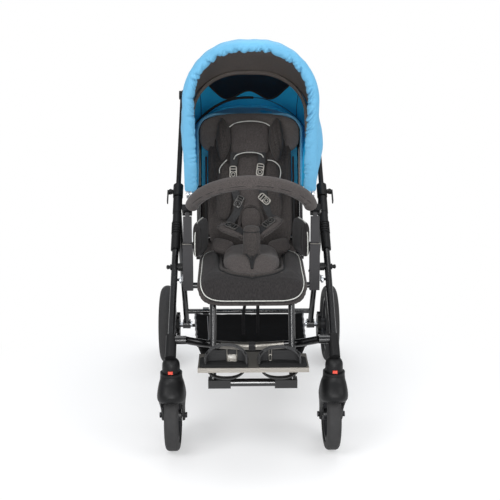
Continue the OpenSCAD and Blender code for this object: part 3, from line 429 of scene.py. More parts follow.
mixed = add(tree, "MixShader", {
    0: share.outputs["Value"], 1: shader.outputs["BSDF"], 2: white.outputs["Emission"]})
feed(tree, tree.nodes["Material Output"], {"Surface": mixed.outputs["Shader"]})
floor_mesh = bpy.data.meshes.new("floor")
bm.to_mesh(floor_mesh)
bm.free()
floor_mesh.materials.append(paper)
floor = bpy.data.objects.new("floor", floor_mesh)
bpy.context.collection.objects.link(floor)
print("floor radius", FLOOR_RADIUS, "m")

# %% Studio light
world = bpy.data.worlds.new("studio")
scene.world = world
world.use_nodes = True
tree = world.node_tree
tree.nodes.clear()
ray = add(tree, "LightPath")
shown = add(tree, "Math", {
    0: ray.outputs["Is Camera Ray"], 1: ray.outputs["Is Transmission Ray"]}, operation="ADD", use_clamp=True)
dome = add(tree, "Background", {"Color": (0.94, 0.97, 1.0, 1.0), "Strength": 0.50})
backdrop = add(tree, "Background", {"Color": (1, 1, 1, 1), "Strength": 1.0})
sky = add(tree, "MixShader", {
    0: shown.outputs["Value"], 1: dome.outputs["Background"], 2: backdrop.outputs["Background"]})
add(tree, "OutputWorld", {"Surface": sky.outputs["Shader"]})

for name, place, aim, size, power in (
        ("key softbox", (-1.9, -2.2, 2.7), (0, 0, 0.6), 1.8, 62),
        ("fill softbox", (2.3, -1.7, 2.0), (0, 0, 0.5), 1.8, 34),
        ("top softbox", (0.2, 0.6, 3.0), (0, 0, 0.5), 2.2, 40),
        ("front softbox", (0.0, -2.9, 0.55), (0, 0, 0.75), 1.6, 22)):
    lamp = bpy.data.lights.new(name, "AREA")
    lamp.size = size
    lamp.energy = power
    holder = bpy.data.objects.new(name, lamp)
    holder.location = place
    holder.rotation_euler = (Vector(aim) - Vector(place)).to_track_quat("-Z", "Y").to_euler()
    bpy.context.collection.objects.link(holder)
    print(name, power, "W")

# %% Strip light for the highlights on the tubes
strip = bpy.data.lights.new("front strip", "AREA")
strip.shape = "RECTANGLE"
strip.size, strip.size_y, strip.energy = 0.40, 1.6, 45
holder = bpy.data.objects.new("front strip", strip)
holder.location = (0.0, -2.95, 1.0)
holder.rotation_euler = (math.radians(88), 0, 0)
holder.visible_diffuse = False
bpy.context.collection.objects.link(holder)
print(strip.name, strip.energy, "W, on glossy surfaces alone")

# %% [markdown]
# ## Finishes for the CAD pieces
# A rigid CAD piece whose shape is right stays as it is and only trades its plain colour for a real finish.

# %% Put the finishes on the CAD nodes
WEARS = {
    "powder_coated_steel_black": (
        "main_tubes front_cross_tube rear_legs rear_cross_bar seat_frame backrest_frame grab_bar "
        "footrest_hanger"),
    "glass_filled_nylon_black": (
        "caster_heads frame_joints handle_clamps pivot_bolts clamp_lever_left clamp_lever_right "
        "caster_fork_left caster_fork_right brake_ring_left brake_ring_right brake_pedal seat_pan footplate_clamps"),
    "matt_powder_coat_black": "push_handle",
    "satin_painted_post_grey": "side_posts grab_bar_posts",
    "moulded_rim_nylon": "front_rim_left front_rim_right rear_rim_left rear_rim_right",
    "vulcanised_tyre_rubber": "front_tyre_left front_tyre_right rear_tyre_left rear_tyre_right",
    "red_moulded_abs": "swivel_lock_left swivel_lock_right",
    "pale_moulded_abs": "grab_button_left grab_button_right",
    "zinc_plated_steel": "rear_axles hinge_pins",
    "black_oxide_steel": "front_axle_left front_axle_right",
    "anodised_aluminium": "fold_stay_left fold_stay_right canopy_rear_bow canopy_front_bow",
    "brushed_plate_aluminium": "footplate",
    "closed_cell_grip_foam": "handle_grip",
    "charcoal_polyester": (
        "seat_cushion seat_insert pommel hip_pads lap_pads back_cushion headrest grab_bar_sleeve"),
    "polyester_webbing_black": "harness foot_straps",
    "basket_nylon_black": "basket",
    "sky_blue_nylon": "canopy_rear_shell canopy_front_shell canopy_back_panel",
}
for finish, nodes in WEARS.items():
    for name in nodes.split():
        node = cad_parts[name]
        node.data.materials.clear()
        node.data.materials.append(FINISH[finish])
print("CAD nodes with a finish:", sum(len(nodes.split()) for nodes in WEARS.values()))

# %% [markdown]
# ## Padded pieces
# Every cushion on the buggy is a foam core in a sewn cover: flat below, crowned above, with a seam all round
# where the cover pulls the foam in. A cube that is subdivided and pushed onto a rounded outline gives that
# form with even quads. Cloth under a little air pressure then swells it between its seams, as foam does.
# The pads are made lying flat, because seams, channels and piping are easy to draw on a flat pattern,
# and only then carried or rolled into place.

# %% A flat pad
SEAM_HEIGHT = 0.42


def pad_shell(half, thick, square, draw, cuts):
    bm = bmesh.new()
    bmesh.ops.create_cube(bm, size=2.0)
    bmesh.ops.subdivide_edges(bm, edges=bm.edges[:], cuts=cuts, use_grid_fill=True)
    for vert in bm.verts:
        a, b, c = vert.co
        reach = max(abs(a), abs(b), 1e-6)
        angle = math.atan2(b, a)
        x = math.copysign(abs(math.cos(angle)) ** (2 / square), a) * half[0]
        y = math.copysign(abs(math.sin(angle)) ** (2 / square), b) * half[1]
        pull = reach * (1 - draw * math.cos(2 * angle) ** 2)
        top = thick * (SEAM_HEIGHT + (1 - SEAM_HEIGHT) * math.sqrt(max(0, 1 - reach ** 3.2)))
        low = thick * SEAM_HEIGHT * (1 - math.sqrt(max(0, 1 - reach ** 7)))
        vert.co = Vector((x * pull, y * pull, low + (top - low) * (c + 1) / 2)) * MM
    bmesh.ops.remove_doubles(bm, verts=bm.verts[:], dist=0.2 * MM)
    bmesh.ops.recalc_face_normals(bm, faces=bm.faces[:])
    return bm


print("a flat pad's seam runs at", SEAM_HEIGHT, "of its thickness")

# %% Swelling a pad with Cloth
PUFF_PRESSURE, PUFF_FRAMES = 4.0, 20
PUFF_CLOTH = {
    "quality": 4, "mass": 0.15, "tension_stiffness": 8, "compression_stiffness": 8, "bending_stiffness": 0.3,
    "use_pressure": True, "uniform_pressure_force": PUFF_PRESSURE, "vertex_group_mass": "seam"}


def scratch(bm):
    mesh = bpy.data.meshes.new("scratch")
    bm.to_mesh(mesh)
    bm.free()
    made = bpy.data.objects.new("scratch", mesh)
    scene.collection.objects.link(made)
    return made


def solved(made):
    return bpy.data.meshes.new_from_object(made.evaluated_get(bpy.context.evaluated_depsgraph_get()))


def puff(bm, half, voxel, cap):
    cover = scratch(bm)
    shrink = cover.modifiers.new("remesh", "REMESH")
    shrink.mode = "VOXEL"
    shrink.voxel_size = voxel * MM
    skin = solved(cover)
    cover.modifiers.clear()
    cover.data = skin
    start = [v.co.copy() for v in skin.vertices]
    still = [i for i, p in enumerate(start) if p.z < 2.5 * MM or
             (abs(p.x) / half[0] / MM) ** 4 + (abs(p.y) / half[1] / MM) ** 4 > 0.86]
    cover.vertex_groups.new(name="seam").add(still, 1.0, "REPLACE")
    cloth = cover.modifiers.new("Cloth", "CLOTH")
    for setting, value in PUFF_CLOTH.items():
        setattr(cloth.settings, setting, value)
    cloth.settings.effector_weights.gravity = 0
    cloth.collision_settings.use_collision = False
    cloth.point_cache.frame_start = 1
    cloth.point_cache.frame_end = PUFF_FRAMES
    for step in range(1, PUFF_FRAMES + 1):
        scene.frame_set(step)
    moved = [v.co.copy() for v in solved(cover).vertices]
    cover.modifiers.clear()
    scene.frame_set(1)
    out = bmesh.new()
    out.from_mesh(skin)
    bpy.data.objects.remove(cover)
    for vert, a, b in zip(out.verts, start, moved):
        way = b - a
        vert.co = a + way * min(1.0, cap * MM / max(way.length, 1e-9))
    bmesh.ops.smooth_vert(
        out, verts=out.verts[:], factor=0.4, use_axis_x=True, use_axis_y=True, use_axis_z=True)
    return out


print("pads swell for", PUFF_FRAMES, "frames, unless this is a quick run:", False)


# %% Channels, lines laid on a pad, and the whole pad
def press(bm, path, depth, width):
    line = [Vector((x, y)) * MM for x, y in path]
    for vert in bm.verts:
        if vert.normal.z < 0.15:
            continue
        flat = vert.co.xy
        near = 1.0
        for a, b in zip(line, line[1:]):
            t = max(0.0, min(1.0, (flat - a).dot(b - a) / max((b - a).length_squared, 1e-12)))
            near = min(near, (flat - (a + (b - a) * t)).length)
        vert.co.z -= depth * MM * math.exp(-(near / (width * MM)) ** 2)


def height_of(surface, x, y):
    hit = surface.ray_cast(Vector((x, y, 1.0)), Vector((0, 0, -1)))[0]
    return hit.z if hit else 0.0


def lay(surface, path, lift, place, steps=6):
    line = []
    for x, y, _ in flow(path, steps):
        x, y = x * MM, y * MM
        line.append(place(Vector((x, y, height_of(surface, x, y) + lift * MM))))
    return line


def carry(matrix):
    return lambda point: matrix @ point


def make_pad(name, place, half, thick, body, finish, cap, square=4.0, draw=0.03, voxel=5.0, channels=(),
             cuts=22, panel=None):
    bm = pad_shell(half, thick, square, draw, cuts)
    bm = puff(bm, half, voxel, cap)
    bm.normal_update()
    for path, depth, width in channels:
        press(bm, path, depth, width)
    surface = BVHTree.FromBMesh(bm)
    if panel:
        for face in bm.faces:
            middle = face.calc_center_median() / MM
            face.material_index = 1 if face.normal.z > 0.1 and panel(middle.x, middle.y) else 0
    for vert in bm.verts:
        vert.co = place(vert.co)
    made = piece(name, bm, finish, body, "charcoal_fabric", crease=0)
    soft = made.modifiers.new("soft", "SUBSURF")
    soft.levels = soft.render_levels = 1
    return made, surface


print("pad helpers ready")

# %% [markdown]
# ## Seat cushion
# The seat cushion ends in a thick roll that hangs over the front tube of the seat. Its face is a darker slub
# cloth framed by pale reflective piping, and the charcoal cover shows as a roll around it.
# The pad is made flat and then rolled: everything in front of the bend turns round the tube below it.
# Its sides rise into two bolsters beside the thighs.

# %% Seat cushion with its rolled front
SEAT_MIDDLE, PAN_TOP, BOLSTER = -8.0, -42.7, 36.0
BEND_AT, BEND_RADIUS, BEND_MIDDLE, BEND_MOST = -122.0, 25.0, 43.0, math.radians(70)


def thin_front(y):
    return 25.0 * max(0.0, min(1.0, (BEND_AT + 30 - y) / 76)) ** 1.5


def ramp(value):
    value = max(0.0, min(1.0, value))
    return value * value * (3 - 2 * value)


def roll_seat(point):
    x, y, h = point / MM
    h *= 1 - thin_front(y) / 50.0
    if h > 8:
        h += BOLSTER * ramp((abs(x) - 86) / 30) * ramp((y + 128) / 200) * (1 - ramp((y - 98) / 30))
    if y < BEND_AT:
        run = BEND_AT - y
        turn = min(run / BEND_MIDDLE, BEND_MOST)
        rest = run - turn * BEND_MIDDLE
        reach = BEND_RADIUS + h
        y = BEND_AT - reach * math.sin(turn) - rest * math.cos(turn)
        h = reach * math.cos(turn) - BEND_RADIUS - rest * math.sin(turn)
    return seat_at(x, SEAT_MIDDLE + y, PAN_TOP + h)


def mirrored(path):
    return path + [(-x, y) for x, y in reversed(path)]


front_frame = mirrored([(-98, 96), (-122, 93), (-139, 76), (-146, 36), (-147, -60), (-147, -126), (-142, -156),
                        (-127, -176), (-98, -186), (-50, -187.5), (0, -187.5)])
horseshoe = mirrored([(-112, 98), (-96, 76), (-91, 30), (-90, -42), (-80, -86), (-55, -112), (0, -124)])


def inside_front_frame(x, y):
    within = (abs(x) / 150) ** 6 + (abs(y + 50) / 145) ** 6 < 1
    return within and not (abs(x) < 88 and y > -106)


seat_cushion, seat_face = make_pad(
    "seat_cushion_cover", roll_seat, (162, 205), 49, "seat",
    ["charcoal_polyester", "slub_polyester"], square=6, draw=0.015, cap=6,
    channels=[(front_frame, 3.5, 5), (horseshoe, 3.0, 6)], cuts=40, panel=inside_front_frame)
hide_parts("seat_cushion")
line = lay(seat_face, front_frame, 1.8, roll_seat)
laid_tubes("seat_front_piping", [line], 1.5, "grey_reflective_piping", "seat", "pale_plastic")
print("front piping length", round(sum((b - a).length for a, b in zip(line, line[1:])), 3), "m")

# %% [markdown]
# ## Seat insert, pommel and hip pads
# A tongue-shaped insert lies in the cushion and ends in a stuffed ring just over the front roll.
# It is laid onto the cushion by looking down onto it point by point, so it follows every swell below it.
# The pommel is a stuffed cylinder that keeps the knees apart: a profile turned round an axis.

# %% Seat insert with its stuffed ring
def on_cushion(sink):
    def place(point):
        x, y, z = point
        return roll_seat(Vector((x, y, z + height_of(seat_face, x, y) - sink * MM)))
    return place


def raised_back(point):
    y = point.y / MM
    rise = 1.7 * ramp((y + 124) / 76) + 0.9 * ramp((y + 40) / 150)
    return on_cushion(3.0)(Vector((point.x, point.y, point.z * (1 + rise))))


def slid_back(point):
    return raised_back(Vector((point.x, point.y + INSERT_BACK * MM, point.z)))


INSERT_BACK = 12.0
insert, insert_face = make_pad(
    "seat_insert_pad", slid_back, (87, 136), 14, "seat", "padded_charcoal_polyester",
    square=3.4, draw=0.0, cap=1, voxel=4, channels=[([(0, -124), (0, -60)], 2.0, 3)], cuts=30)
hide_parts("seat_insert")
INSERT_RINGS = {
    "insert_ring": ([(-104, 124), (-95, 66), (-92, 10), (-90, -42), (-80, -85), (-55, -111), (0, -123)],
                    6.5, "charcoal_polyester"),
    "insert_ring_cord": ([(-108, 104), (-101, 48), (-98, 0), (-96, -48), (-86, -92), (-58, -119), (0, -132)],
                         2.2, "black_edge_binding")}
for name, (path, radius, finish) in INSERT_RINGS.items():
    line = lay(seat_face, mirrored(path), 1.5, roll_seat)
    ring = laid_tubes(name, [line], radius, finish, "seat", "charcoal_fabric", sides=3)


# %% Pommel turned from a profile
def lathe(profile, steps=40):
    bm = bmesh.new()
    ends = [bm.verts.new((r * MM, 0, h * MM)) for r, h in profile]
    edges = [bm.edges.new(pair) for pair in zip(ends, ends[1:])]
    bmesh.ops.spin(
        bm, geom=ends + edges, cent=(0, 0, 0), axis=(0, 0, 1), angle=math.tau, steps=steps, use_merge=True)
    return bm


def placed(bm, matrix):
    bmesh.ops.transform(bm, matrix=matrix, verts=bm.verts[:])
    return bm


POMMEL = SEAT @ shift(0, -45, 20)
profile = flow([(0.05, 0), (16, 0), (21, 4), (22.5, 12), (24.5, 18), (25.4, 45), (25.2, 78), (23.6, 93),
                (24.4, 97), (23, 104), (17, 109), (8, 111), (0.05, 111.5)], 3)
bm = lathe([point.xy for point in profile])
for vert in bm.verts:
    swell = noise.noise(vert.co * 60) * 0.8 * MM
    vert.co.xy += vert.co.xy.normalized() * swell
pommel = piece("pommel_pad", placed(bm, POMMEL), "charcoal_polyester", "seat", "charcoal_fabric", crease=0)
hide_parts("pommel")
turns = [math.tau * i / 40 for i in range(40)]
circles = [[POMMEL @ Vector((radius * MM * math.cos(t), radius * MM * math.sin(t), height * MM)) for t in turns]
           for height, radius in ((14, 23.4), (94, 24.0))]
laid_tubes("pommel_seams", circles, 1.3, "black_edge_binding", "seat", "charcoal_fabric", closed=True)

# %% [markdown]
# A sewn collar gathers the pommel's foot, and a crotch strap runs from there to a point at the front.

# %% Collar and crotch strap
collar = lathe([(26.5, 38), (27.2, 33), (28.5, 23), (29.2, 16), (27.6, 15.2), (26.2, 23), (25.4, 33), (25.6, 38),
                (26.5, 38)])
for vert in collar.verts:
    forward = max(0.0, -vert.co.y / (28 * MM))
    vert.co.z -= 9 * MM * forward ** 6
piece("pommel_collar", placed(collar, POMMEL), "charcoal_polyester", "seat", "charcoal_fabric")
spread = [(-17, -72), (-10, -84), (-4.5, -98), (-1.2, -116)]
bm = bmesh.new()
for sign in (-1, 1):
    tube(lay(insert_face, [(sign * x, y) for x, y in spread], 2.0, slid_back), 2.6 * MM, bm)
tube(lay(insert_face, [(0, -76), (0, -96), (0, -118)], 1.6, slid_back), 3.6 * MM, bm)
piece("crotch_strap", bm, "black_edge_binding", "seat", "black_webbing")

# %% Hip pads with pale piping along the front edge
HIP_FLARE = 9.0
hip_path = [(57.5, 30), (55, -40), (46, -72), (20, -92), (-20, -97), (-46, -92)]
for side, sign in SIDES:
    spot = SEAT @ shift(sign * 163.5, 76, 80)
    spot = spot @ Matrix.Scale(sign, 4, (1, 0, 0)) @ turned("Z", HIP_FLARE) @ turned("Y", -90)
    # The hip pads wear the dark slub cloth: painted shade for their shadowed inner faces.
    hip, _ = make_pad(
        f"hip_pad_{side}", carry(spot), (57, 97), 23, "seat", "slub_polyester", draw=0.04, cap=4,
        voxel=4, channels=[([(-40, -60), (40, -60), (40, 70), (-40, 70), (-40, -60)], 2.0, 4)])
    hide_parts("hip_pads")
    rim = [(x * 0.99, y * 0.99) for x, y in hip_path]
    line = [spot @ Vector((x * MM, y * MM, 11 * MM)) for x, y, _ in flow(rim, 6)]
    laid_tubes(f"hip_piping_{side}", [line], 1.5, "grey_reflective_piping", "seat", "pale_plastic")

# %% [markdown]
# ## Lap wings and thigh pads
# Two padded wings come up from the pommel and hold the lap strap. A ribbed tape and a ring adjuster sit on
# each wing. The adjuster is a small moulded plate, pale or dark. It has a dark window with one bar for the tape,
# and a raised ring round a dark button. The plate is bevelled, because a sharp edge on a plate this small would
# look cut from paper.

# %% Small plates and their outlines
def rounded_plate(width, length, thick, corner, edge):
    bm = bmesh.new()
    bmesh.ops.create_cube(bm, size=1.0)
    bmesh.ops.scale(bm, vec=Vector((width, length, thick)) * MM, verts=bm.verts[:])
    upright = [e for e in bm.edges if abs(e.verts[0].co.z - e.verts[1].co.z) > 0.5 * thick * MM]
    bmesh.ops.bevel(bm, geom=upright, offset=corner * MM, segments=5, profile=0.5, affect="EDGES", material=-1)
    rim = [e for e in bm.edges if abs(e.verts[0].co.z - e.verts[1].co.z) < 0.1 * thick * MM and
           len(e.link_faces) == 2 and e.calc_face_angle(0) > 1.0]
    bmesh.ops.bevel(bm, geom=rim, offset=edge * MM, segments=2, profile=0.5, affect="EDGES", material=-1)
    return bm


def outline(width, length, corner, height):
    line = []
    for x, y, start in ((1, 1, 0), (-1, 1, 90), (-1, -1, 180), (1, -1, 270)):
        for step in range(5):
            a = math.radians(start + 22.5 * step)
            line.append(Vector((x * (width / 2 - corner) + corner * math.cos(a),
                                y * (length / 2 - corner) + corner * math.sin(a), height)) * MM)
    return line


def join_in(bm, other):
    mesh = bpy.data.meshes.new("joined")
    other.to_mesh(mesh)
    other.free()
    bm.from_mesh(mesh)
    bpy.data.meshes.remove(mesh)


print("plate helpers ready")


# %% The ring adjuster and the straps it holds
WEBBING_THICK = 1.6


def adjuster(name, matrix, body, pale):
    bm = rounded_plate(22, 40, 4.0, 6, 0.9)
    window = placed(rounded_plate(17, 14, 1.6, 1.5, 0.4), shift(0, 10, 1.9))
    low = shift(0, -8, 0.2)
    well = placed(lathe([(0.05, 2.3), (9.6, 2.3), (9.6, 1.0)], 28), low)
    button = placed(lathe([(0.05, 4.6), (2.6, 4.5), (4.2, 3.8), (4.8, 2.6), (4.8, 1.0)], 24), low)
    for dark in (window, well, button):
        for face in dark.faces:
            face.material_index = 1
        join_in(bm, dark)
    tube(outline(21, 39, 6, 1.4), 1.6 * MM, bm, closed=True)
    tube([Vector((x, 10, 3.0)) * MM for x in (-9, 0, 9)], 1.4 * MM, bm)
    turns = [math.tau * i / 28 for i in range(28)]
    tube([Vector((5.6 * math.cos(a), 5.6 * math.sin(a) - 8, 3.2)) * MM for a in turns], 1.3 * MM, bm, closed=True)
    plate, slot = ("grey_moulded_acetal", "pale_plastic") if pale else ("dark_moulded_acetal", "black_plastic")
    return piece(name, placed(bm, matrix), [plate, "glass_filled_nylon_black"], body, slot)


def strap(name, surface, matrix, path, width, lift, body):
    line = lay(surface, path, lift, carry(matrix), 5)
    up = matrix.to_3x3() @ Vector((0, 0, 1))
    sides = [(line[min(i + 1, len(line) - 1)] - line[max(i - 1, 0)]).cross(up) for i in range(len(line))]
    tape = ribbon(line, sides, width * MM, WEBBING_THICK * MM)
    return piece(name, tape, "polyester_webbing_black", body, "black_webbing")


print("straps are", WEBBING_THICK, "mm thick")

# %% Lap wings and thigh pads
LAP_EDGE = [(-47, -15), (-20, -21), (25, -21), (44, -12), (47.5, 4), (40, 17), (15, 21), (-30, 19)]
for side, sign, lean in (("left", -1, 16), ("right", 1, 30)):
    mirror = Matrix.Scale(sign, 4, (1, 0, 0))
    wing = SEAT @ mirror @ shift(18, -30, 94) @ turned("Z", 30)
    wing = wing @ turned("Y", -lean) @ turned("X", 24) @ shift(46, 0, 0)
    lap, lap_face = make_pad(
        f"lap_wing_{side}", carry(wing), (50, 24), 15, "seat", "padded_charcoal_polyester",
        square=3.0, cap=3, voxel=3.5,
        channels=[([(-44, 12), (-30, 16), (30, 16), (43, 0), (30, -16), (-44, -14)], 2.5, 3)])
    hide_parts("lap_pads")
    edge = lay(lap_face, LAP_EDGE, 0.2, carry(wing))
    laid_tubes(f"lap_binding_{side}", [edge], 3.2, "charcoal_polyester", "seat", "charcoal_fabric")
    strap(f"lap_tape_{side}", lap_face, wing, [(-52, 2), (-30, 2), (-12, 2)], 21, 2.0, "seat")
    over = wing @ shift(6, 4, 18) @ turned("Z", 90)
    adjuster(f"lap_adjuster_{side}", over, "seat", False)
    thigh = SEAT @ mirror @ shift(88, 78, 44) @ turned("Y", -14) @ turned("X", 38)
    make_pad(
        f"thigh_pad_{side}", carry(thigh), (36, 30), 20, "seat", "padded_charcoal_polyester",
        square=3.2, cap=3, voxel=4)

# %% [markdown]
# ## Backrest cushion
# The back is a long padded panel with a wider yoke at the shoulders. A trunk support with a middle and two
# side panels lies on it, each framed by pale piping at its upper end, and the harness passes between them.
# Pads that lie on other pads are placed on the face of the main cushion, a few millimetres sunk in,
# as foam gives way under what is sewn onto it.

# %% Back cushion and yoke
BACK_FACE = BACK @ shift(0, -8.3, 0) @ turned("X", 90)
BACK_MIDDLE = 233


def on_back(x, z, lift=0.0, turn=0.0):
    return BACK_FACE @ shift(x, z, lift) @ turned("Z", turn)


def back_line(path, lift, steps=6):
    return [on_back(x, z, lift).to_translation() for x, z, _ in flow(path, steps)]


back_pad, back_face = make_pad(
    "back_cushion_cover", carry(on_back(0, BACK_MIDDLE)), (140, 213), 37, "backrest", "charcoal_polyester",
    square=7, draw=0.015, cap=5, cuts=40,
    channels=[([(-112, -200), (-118, 0), (-120, 150)], 2.5, 5), ([(112, -200), (118, 0), (120, 150)], 2.5, 5)])
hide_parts("back_cushion")
# The yoke wears a lighter copy of the charcoal cloth: painted light for its shaded place under the canopy.
make_pad(
    "back_yoke", carry(on_back(0, 398)), (168, 74), 30, "backrest", "yoke_polyester",
    square=3.1, draw=0.0, cap=5, cuts=32)
BACK_EDGE = [(141, 30), (142.5, 120), (142.5, 230), (143, 325)]
edges = [back_line([(sign * x, z) for x, z in BACK_EDGE], 12, 8) for sign in (-1, 1)]
laid_tubes("back_edge_binding", edges, 3.0, "black_edge_binding", "backrest", "black_webbing")

# %% [markdown]
# Behind the pad a cloth is stretched between the two back tubes. It is charcoal at the hips, where the seat
# closes round the rider, and blue at the shoulders, where it is the lower end of the canopy.
# A slack gusset closes the slot between seat and back and sags between both.

# %% Sheets of cloth
def grid_sheet(columns, rows, shape, thick, size):
    bm = bmesh.new()
    bmesh.ops.create_grid(bm, x_segments=columns, y_segments=rows, size=0.5)
    uv = bm.loops.layers.uv.verify()
    spots = {v: (v.co.x + 0.5, v.co.y + 0.5) for v in bm.verts}
    for face in bm.faces:
        for loop in face.loops:
            s, t = spots[loop.vert]
            loop[uv].uv = (s * size[0], t * size[1])
    for vert, (s, t) in spots.items():
        vert.co = shape(s, t)
    bm.normal_update()
    if thick:
        bmesh.ops.solidify(bm, geom=bm.faces[:], thickness=thick * MM)
    return bm


def closed_tube(columns, rows, shape, size=(0.5, 0.13)):
    bm = grid_sheet(columns, rows, shape, 0, size)
    bmesh.ops.remove_doubles(bm, verts=bm.verts[:], dist=0.05 * MM)
    bmesh.ops.holes_fill(bm, edges=[e for e in bm.edges if e.is_boundary], sides=0)
    return bm


def sew_sheet(name, columns, rows, shape, thick, size, finish, body, slot):
    return piece(name, grid_sheet(columns, rows, shape, thick, size), finish, body, slot, crease=0)


def declare_cloth(made, size, area=None):
    sewn = sum(p.area for p in made.data.polygons) / 2
    print(made.name, "made", round(sewn, 4), "cut", round(area or size[0] * size[1], 4), "m2")


print("sheet helpers ready")


# %% Cloth between the back tubes and the slack gusset
def stretched(low, high, depth):
    def shape(s, t):
        x = 172.0 * (2 * s - 1)
        z = low + (high - low) * t
        bow = 3.0 * math.sin(math.pi * t) + 1.5 * noise.noise(Vector((x / 40, z / 50, depth)))
        return back_at(x, depth + bow, z)
    return shape


lower = sew_sheet("back_sling_lower", 40, 26, stretched(-6, 222, 9.5), 1.2, (0.35, 0.23),
                  "charcoal_polyester", "backrest", "charcoal_fabric")
declare_cloth(lower, (0.36, 0.235))
# The blue sling wears the deeper blue copy: painted light for the cloth lit from behind.
upper = sew_sheet("back_sling_upper", 40, 26, stretched(214, 420, 10.5), 1.2, (0.35, 0.21),
                  "coated_blue_nylon", "backrest", "blue_cloth")
declare_cloth(upper, (0.36, 0.215))


def gusset_shape(s, t):
    x = 150.0 * (2 * s - 1)
    seat_end = seat_at(x, 176, -20)
    back_end = back_at(x, -14, 40)
    slack = 9.0 * math.sin(math.pi * t) + 1.2 * math.sin(30 * s) * math.sin(math.pi * t)
    return seat_end.lerp(back_end, t) + Vector((0, 0.8, -0.6)) * slack * MM


gusset = sew_sheet("seat_back_gusset", 40, 14, gusset_shape, 1.2, (0.3, 0.1),
                   "charcoal_polyester", None, "charcoal_fabric")
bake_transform(gusset)
declare_cloth(gusset, (0.305, 0.078))

# %% Trunk support panels with pale piping
FACE = 36.0
make_pad(
    "trunk_panel_middle", carry(on_back(-3, 215, FACE - 4)), (50, 112), 12, "backrest", "padded_charcoal_polyester",
    square=3.4, cap=3, voxel=4, cuts=26)
for side, sign in SIDES:
    make_pad(
        f"trunk_panel_{side}", carry(on_back(sign * 78 - 3, 205, FACE - 4, sign * 3)), (27, 100), 22, "backrest",
        "charcoal_polyester", square=2.8, cap=3, voxel=4, cuts=26)
pipes = [([(-52, 306), (-44, 319), (-22, 327), (0, 329), (22, 327), (38, 321), (44, 312)], 21),
         ([(-98, 262), (-98, 276), (-88, 292), (-74, 306)], 14),
         ([(58, 306), (78, 302), (94, 288), (100, 268), (97, 248), (91, 238)], 9)]
lines = [back_line(path, FACE + lift) for path, lift in pipes]
laid_tubes("trunk_piping", lines, 1.6, "grey_reflective_piping", "backrest", "pale_plastic")

# %% [markdown]
# ## Headrest
# The headrest has a flat middle pad between two deep spindle-shaped wings. It slides up and down on the
# back cushion, so all its pieces ride on their own body. The cover of the wings is loose enough to fold,
# and a ripple that fades towards the ends of the spindle stands for those folds.

# %% Headrest middle pad and wings
head, _ = make_pad(
    "headrest_pad", carry(on_back(0, 378, FACE + 2)), (66, 56), 21, "headrest", "padded_charcoal_polyester",
    square=5, cap=4, voxel=4, cuts=28, channels=[([(-60, -44), (0, -34), (60, -44)], 2, 4)])
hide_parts("headrest")
arch_path = [(-66, 414), (-52, 424), (-30, 431), (0, 434), (30, 432), (52, 426), (65, 418)]
laid_tubes("headrest_piping", [back_line(arch_path, FACE + 15)], 1.7, "grey_reflective_piping", "headrest",
           "pale_plastic")


def folded(matrix, sign):
    def place(point):
        along = point.y / (72 * MM)
        fade = max(0.0, 1 - along ** 2)
        fold = 1.6 * MM * fade * math.sin(point.x * 420 + 5 * along + sign)
        sway = 5 * MM * sign * along ** 2
        x, z = point.x * (0.45 + 0.55 * fade) + sway, point.z * (0.55 + 0.45 * fade) + fold
        return matrix @ Vector((x, point.y, z))
    return place


for side, sign in SIDES:
    wing, _ = make_pad(
        f"headrest_wing_{side}", folded(on_back(sign * 85, 375, FACE - 2), sign), (25, 75), 42, "headrest",
        "charcoal_polyester", square=2.6, cap=4, voxel=4, cuts=26)
    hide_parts("headrest")

# %% [markdown]
# ## Harness
# Five-point harness: two shoulder straps come out under the headrest, pass a pale ring adjuster each, and run
# down to a second pair above the lap. The webbing is laid on the cushion by the same looking-down trick,
# so that it dips and climbs with the padding below it.

# %% Shoulder straps, adjusters and arched chest pad
straps = {
    "left": [(-50, 330), (-52, 300), (-54, 262), (-50, 215), (-42, 180), (-36, 160), (-44, 132), (-66, 100)],
    "right": [(40, 330), (38, 300), (34, 268), (36, 225), (44, 190), (48, 170), (58, 142), (78, 108)]}
for side, path in straps.items():
    flat = [(x, z - BACK_MIDDLE) for x, z in path]
    made = strap(f"shoulder_strap_{side}", back_face, on_back(0, BACK_MIDDLE), flat, 24, 13, "backrest")
    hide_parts("harness")
for name, x, z, turn, lift, pale in [
        ("shoulder_adjuster_left", -54, 264, 0, 19, True), ("shoulder_adjuster_right", 33, 272, -8, 19, True),
        ("chest_adjuster_left", -36, 168, -28, 20, False), ("chest_adjuster_right", 46, 176, 48, 20, True)]:
    adjuster(name, on_back(x, z, FACE + lift, turn), "backrest", pale)
make_pad(
    "chest_pad", carry(on_back(3, 112, FACE + 2)), (33, 40), 17, "backrest", "padded_charcoal_polyester",
    square=2.6, cap=3, voxel=3.5)
ring_path = [(-35, 78), (-34, 112), (-25, 140), (3, 155), (31, 140), (40, 112), (41, 78)]
laid_tubes("chest_pad_ring", [back_line(ring_path, FACE + 10)], 5, "charcoal_polyester", "backrest",
           "charcoal_fabric")

# %% [markdown]
# ## Canopy
# The canopy is sewn from curved panels over three bows that meet at one pivot on each side. The front one swings.
# A point on it is found by two numbers: the angle of the bow it lies on and the place along the arch,
# from the left pivot over the top to the right one. The arch is straight up the sides and round on top.
# Between two bows the cloth hangs a little, so its radius shrinks there.

# %% The arch of the canopy
CANOPY_HALF, CANOPY_REACH, CROWN_FLAT, ARCH_START = 206.0, 470.0, 25.0, 34.0
MIDDLE_BOW, FRONT_BOW, REAR_EDGE = 52.0, 100.0, 31.0


def over_the_top(share, low, shoulder, corner, flat):
    side, quarter = shoulder - low, math.pi / 2 * corner
    total = side + quarter + flat
    run = min(share, 1 - share) * 2 * total
    if run < side:
        x, rise = flat + corner, low + run
    elif run < side + quarter:
        t = (run - side) / corner
        x, rise = flat + corner * math.cos(t), shoulder + corner * math.sin(t)
    else:
        x, rise = total - run, shoulder + corner
    return -x if share < 0.5 else x, rise


